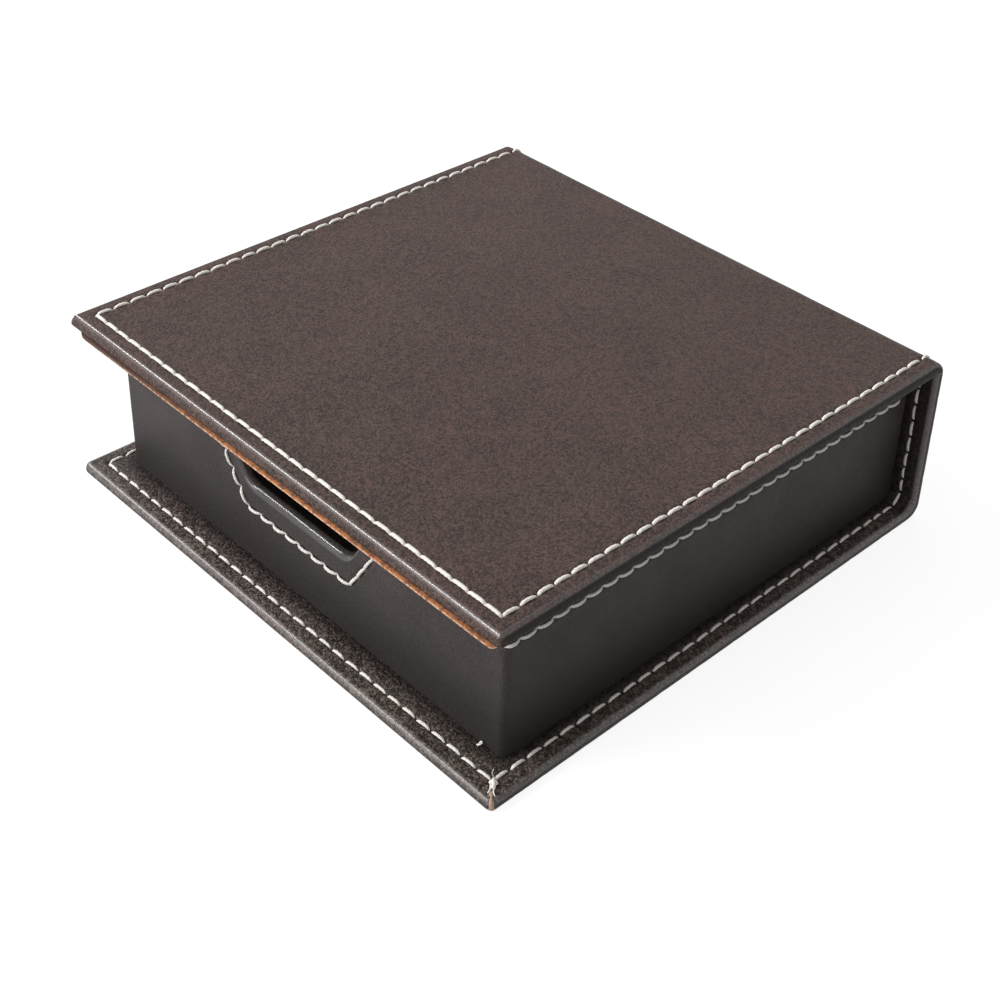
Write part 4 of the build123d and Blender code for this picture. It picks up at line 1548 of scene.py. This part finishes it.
def thread_path(shape, points, thickness, sides=10):
    """A thread that runs through points, with domed ends."""
    points = np.asarray(points, float)
    spans = np.linspace(0, len(points) - 1, 8 * len(points))
    base = np.clip(spans.astype(int), 0, len(points) - 2)
    share = (spans - base)[:, None]
    before, after = np.maximum(base - 1, 0), np.minimum(base + 2, len(points) - 1)
    a, b, c, d = points[before], points[base], points[base + 1], points[after]
    path = b + 0.5 * share * (
        (c - a) + share * ((2 * a - 5 * b + 4 * c - d) + share * (3 * (b - c) + d - a))
    )
    ahead = np.gradient(path, axis=0)
    ahead /= np.linalg.norm(ahead, axis=1)[:, None] + 1e-9
    aside = np.cross(ahead, [0.3, 0.2, 0.93])
    aside /= np.linalg.norm(aside, axis=1)[:, None] + 1e-9
    above = np.cross(aside, ahead)
    ends = np.minimum(np.linspace(0, 1, len(path)), np.linspace(1, 0, len(path))) * len(path) / 4
    radius = thickness / 2 * np.sqrt(np.clip(ends, 0.08, 1))
    turn = np.linspace(0, 2 * math.pi, sides, endpoint=False)
    ring = path[:, None] + radius[:, None, None] * (
        aside[:, None] * np.cos(turn)[None, :, None] + above[:, None] * np.sin(turn)[None, :, None]
    )
    shape.tube(ring)


def round_edge(grid):
    """The numbers round the edge of a grid."""
    return [*grid[0], *grid[1:, -1], *grid[-1, -2::-1], *grid[-2:0:-1, 0]]


def split_layer(fold, lift, generator):
    """The top or the underside of the ragged strip that the split shows, over the base's edge."""
    corner = case_sizes().base_corner / MM
    profile = edge_profile(fold.base, CASE_BEVEL)
    bead = profile[(profile[:, 1] > 0.1) & (profile[:, 0] < 3.4)]
    rows = []
    for number, (inset, depth) in enumerate(bead):
        share = number / (len(bead) - 1)
        width = (0.66 - 0.3 * share) * generator.uniform(0.8, 1.15)
        swerve = 0.12 * math.sin(5 * share + 0.6)
        radius, reach = max(corner - inset, 0.0), max(inset, corner)
        row = []
        for offset in np.linspace(-1, 1, 7):
            away = swerve + width * offset
            held = min(abs(away), 0.95 * radius)
            swell = lift * (1 - 1.8 * offset**4) if lift > 0 else lift
            out = math.sqrt(radius**2 - held**2) + swell
            x = fold.half - reach + (out + away) * math.sqrt(0.5)
            y = BASE_LOW.y + reach + (away - out) * math.sqrt(0.5)
            row.append((x, y, fold.base * depth + (out - radius) * (depth > 0.6) * 0.8))
        rows.append(row)
    return np.array(rows)


# Thickness of each loose thread and the points it runs through, from the knot at the base's corner
# and from the curl on the base's front ledge
KNOT_THREADS = (
    (0.85, ((-0.5, 0.3, 0), (-0.1, -0.4, 0.55), (0.5, -0.9, 0.5), (0.9, -1.5, 0))),
    (0.7, ((-0.5, -1.0, 0.05), (0.1, -0.6, 0.7), (0.8, -0.3, 0.3))),
    (0.13, ((0.2, -0.6, 0.6), (0.5, -0.9, 1.9), (0.2, -1.1, 3.1), (0.5, -1.0, 4.2))),
    (0.26, ((-0.15, -1.15, 0.35), (0.65, -1.85, 0.22), (0.74, -2.04, 0.25), (0.864, -2.7, -0.1))),
    (0.26, ((0.3, -0.7, 0.35), (1.1, -1.4, 0.22), (1.55, -1.95, 0.25), (2.26, -2.2, -0.1))),
)
CURL_THREADS = (
    (0.3, ((-0.6, -0.2, 0.1), (0, -0.5, 0.5), (0.4, 0, 0.9), (-0.1, 0.3, 0.7), (-0.4, -0.1, 0.15))),
)


class NOTEBOX_OT_worn_corner(bpy.types.Operator):
    """Make the split, the knot and the loose thread at the base's near right corner"""

    bl_idname = "notebox.worn_corner"
    bl_label = "Worn corner"

    def execute(self, context):
        fold = Fold()
        generator = random.Random(seam_sizes().seed + 20)
        shape = Shape()
        top, under = (shape.add(split_layer(fold, lift, generator)) for lift in (0.08, -0.25))
        shape.strip(top)
        shape.strip(under[:, ::-1])
        shape.strip(np.array([round_edge(top), round_edge(under)]), closed=True)
        piece = shape.build("split_corner", finish_named("raw_backing"))
        settle(piece, "case", "case_leather")

        inset = seam_sizes().inset / MM
        knot = (fold.half - inset + 0.55, BASE_LOW.y + inset + 0.3, fold.base)
        curl = (TRAY_HIGH.x - 4.85, TRAY_LOW.y - 0.7, fold.base)
        shape = Shape()
        for start, threads in ((knot, KNOT_THREADS), (curl, CURL_THREADS)):
            for thickness, points in threads:
                thread_path(shape, np.array(start) + np.array(points), thickness)
        piece = shape.build("knot_and_loose_thread", finish_named("waxed_thread"))
        settle(piece, "case", "thread")
        return {"FINISHED"}


class NOTEBOX_OT_boards(bpy.types.Operator):
    """Give the boards inside the leather their finish"""

    bl_idname = "notebox.boards"
    bl_label = "Boards"

    def execute(self, context):
        material = finish_named("pressed_board")
        for name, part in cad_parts.items():
            if name.endswith("_board"):
                part.data.materials.clear()
                part.data.materials.append(material)
        return {"FINISHED"}


def seen_share(tree):
    """1 for rays of the camera, of reflections and through clear pieces, and 0 for other light."""
    rays = node(tree, "ShaderNodeLightPath")
    seen = reckon(tree, "MAXIMUM", rays.outputs["Is Camera Ray"], rays.outputs["Is Glossy Ray"])
    return reckon(tree, "MAXIMUM", seen, rays.outputs["Is Transmission Ray"])


def direction(azimuth, elevation):
    """The way from the box to a lamp or the camera, from its turn and lift in degrees."""
    turn, lift = math.radians(azimuth), math.radians(elevation)
    return Vector(
        (math.sin(turn) * math.cos(lift), -math.cos(turn) * math.cos(lift), math.sin(lift))
    )


# Half the floor's width in metres, and from where to where it pales, in millimetres
FLOOR_REACH = 3.0
FLOOR_PALES = (300.0, 900.0)

# Grey levels of the paper floor: the two of its tooth, and the one that the camera sees
PAPER_LEVELS = (0.38, 0.4)
PAPER_SEEN = 0.28

# Strength of the white world as a light, and as it is seen
WORLD_STRENGTH = (0.34, 1.0)

# Middle of the lamps in metres, and each lamp's name, azimuth and elevation in degrees, distance
# and size in metres, and power in watts
LAMP_MIDDLE = Vector((0, 0, 0.02))
LAMPS = (
    ("key_light", -52, 37, 0.9, (0.9, 0.05), 7.6),
    ("front_light", -15, 12, 1.1, (0.8, 0.3), 4.8),
    ("top_light", -160, 70, 1.0, (0.6, 0.6), 1.4),
    ("fill_light", 70, 24, 1.1, (0.7, 0.7), 1.3),
)


def place_floor():
    """Lay a sheet of pale paper under the box."""
    reach = FLOOR_REACH
    corners = [(-reach, -reach, 0), (reach, -reach, 0), (reach, reach, 0), (-reach, reach, 0)]
    mesh = bpy.data.meshes.new("floor")
    mesh.from_pydata(corners, [], [(0, 1, 2, 3)])
    material, tree, output = fresh_material("floor_paper")
    seen = seen_share(tree)
    place = millimetre_place(tree)
    tooth = remap(tree, noise(tree, place, 1.5), 0.3, 0.7)
    paper = blend_colours(tree, tooth, (PAPER_LEVELS[0],) * 3, (PAPER_LEVELS[1],) * 3)
    paper = blend_colours(tree, seen, paper, (PAPER_SEEN,) * 3)
    shader = node(tree, "ShaderNodeBsdfDiffuse", Color=paper)
    away = node(tree, "ShaderNodeVectorMath", {"operation": "LENGTH"}, _0=place).outputs["Value"]
    pale = remap(tree, away, *FLOOR_PALES, 0.85, 0.96)
    glow = node(tree, "ShaderNodeEmission", Strength=reckon(tree, "MULTIPLY", seen, pale))
    both = node(tree, "ShaderNodeAddShader", _0=shader.outputs[0], _1=glow.outputs[0])
    tree.links.new(both.outputs[0], output.inputs["Surface"])
    mesh.materials.append(material)
    floor = bpy.data.objects.new("floor", mesh)
    bpy.context.scene.collection.objects.link(floor)


def place_world():
    """Surround the box with white."""
    world = bpy.data.worlds.new("studio")
    world.use_nodes = True
    bpy.context.scene.world = world
    tree = world.node_tree
    tree.nodes.clear()
    output = tree.nodes.new("ShaderNodeOutputWorld")
    strength = remap(tree, seen_share(tree), 0.0, 1.0, *WORLD_STRENGTH)
    sky = node(tree, "ShaderNodeBackground", Strength=strength, Color=(1.0, 1.0, 1.0, 1.0))
    tree.links.new(sky.outputs[0], output.inputs["Surface"])


def place_lamps():
    """Hang the lamps round the box."""
    for name, azimuth, elevation, distance, size, power in LAMPS:
        light = bpy.data.lights.new(name, "AREA")
        light.shape = "RECTANGLE"
        light.size, light.size_y = size
        light.energy = power
        lamp = bpy.data.objects.new(name, light)
        bpy.context.scene.collection.objects.link(lamp)
        back = direction(azimuth, elevation)
        lamp.location = LAMP_MIDDLE + back * distance
        lamp.rotation_euler = back.to_track_quat("Z", "Y").to_euler()


# Where the camera is round the box's middle, in degrees and millimetres, then its focal length and
# the point straight ahead of it, as steps of a picture that is this many steps wide
CAMERA_AZIMUTH = 44.292
CAMERA_ELEVATION = 31.350
CAMERA_DISTANCE = 351.51
CAMERA_SHIFT = (8.96, 24.07)
CAMERA_ROLL = 2.712
CAMERA_FOCUS = 1745.6
PICTURE_MIDDLE = (552.2, 300.0)
PICTURE = 1000.0


def place_camera():
    """Put the camera where it sees the closed box from its front right corner, from above."""
    data = bpy.data.cameras.new("camera")
    camera = bpy.data.objects.new("camera", data)
    bpy.context.scene.collection.objects.link(camera)
    bpy.context.scene.camera = camera
    azimuth, roll = math.radians(CAMERA_AZIMUTH), math.radians(CAMERA_ROLL)
    back = direction(CAMERA_AZIMUTH, CAMERA_ELEVATION)
    right = Vector((math.cos(azimuth), math.sin(azimuth), 0))
    up = back.cross(right)
    middle = Vector((0, 0, CAD_BOX[1].z / MM / 2))
    place = middle + back * CAMERA_DISTANCE + right * CAMERA_SHIFT[0] + up * CAMERA_SHIFT[1]
    rolled_right = right * math.cos(roll) + up * math.sin(roll)
    rolled_up = up * math.cos(roll) - right * math.sin(roll)
    turn = Matrix((rolled_right, rolled_up, back)).transposed()
    camera.matrix_world = Matrix.Translation(place * MM) @ turn.to_4x4()
    data.sensor_width = 36.0
    data.lens = CAMERA_FOCUS / PICTURE * data.sensor_width
    data.shift_x = (PICTURE / 2 - PICTURE_MIDDLE[0]) / PICTURE
    data.shift_y = (PICTURE_MIDDLE[1] - PICTURE / 2) / PICTURE
    data.clip_start = 0.01
    data.clip_end = 20.0


class NOTEBOX_OT_stage(bpy.types.Operator):
    """Set the floor, the light and the camera"""

    bl_idname = "notebox.stage"
    bl_label = "Stage"

    def execute(self, context):
        context.scene.view_settings.view_transform = "Standard"
        place_floor()
        place_world()
        place_lamps()
        place_camera()
        return {"FINISHED"}


PIECES = (
    NOTEBOX_OT_stage,
    NOTEBOX_OT_case_leather,
    NOTEBOX_OT_lid_leather,
    NOTEBOX_OT_hinge,
    NOTEBOX_OT_lid_lining,
    NOTEBOX_OT_tray_leather,
    NOTEBOX_OT_well_lining,
    NOTEBOX_OT_case_stitches,
    NOTEBOX_OT_lid_stitches,
    NOTEBOX_OT_tray_stitches,
    NOTEBOX_OT_worn_corner,
    NOTEBOX_OT_boards,
)


class NOTEBOX_PT_pieces(bpy.types.Panel):
    """Lists the pieces of the note box"""

    bl_idname = "NOTEBOX_PT_pieces"
    bl_label = "Note Box"
    bl_space_type = "VIEW_3D"
    bl_region_type = "UI"
    bl_category = "Note Box"

    def draw(self, context):
        for piece in PIECES:
            self.layout.operator(piece.bl_idname)
        for group in GROUPS:
            box = self.layout.box()
            settings = getattr(context.scene, group)
            for name in settings.__annotations__:
                box.prop(settings, name)


GROUPS = {
    "note_box_case": CaseSizes,
    "note_box_tray": TraySizes,
    "note_box_seams": SeamSizes,
    "note_box_colours": FinishColours,
}


def register():
    """Register the sizes, the operators and the panel."""
    for name, group in GROUPS.items():
        bpy.utils.register_class(group)
        setattr(bpy.types.Scene, name, PointerProperty(type=group))
    for piece in PIECES:
        bpy.utils.register_class(piece)
    bpy.utils.register_class(NOTEBOX_PT_pieces)


def unregister():
    """Take back what register added."""
    bpy.utils.unregister_class(NOTEBOX_PT_pieces)
    for piece in reversed(PIECES):
        bpy.utils.unregister_class(piece)
    for name, group in reversed(GROUPS.items()):
        delattr(bpy.types.Scene, name)
        bpy.utils.unregister_class(group)


def main():
    """Make every piece in order."""
    register()
    for piece in PIECES:
        group, name = piece.bl_idname.split(".")
        getattr(getattr(bpy.ops, group), name)()
    bpy.context.view_layer.update()


if __name__ == "__main__":
    main()
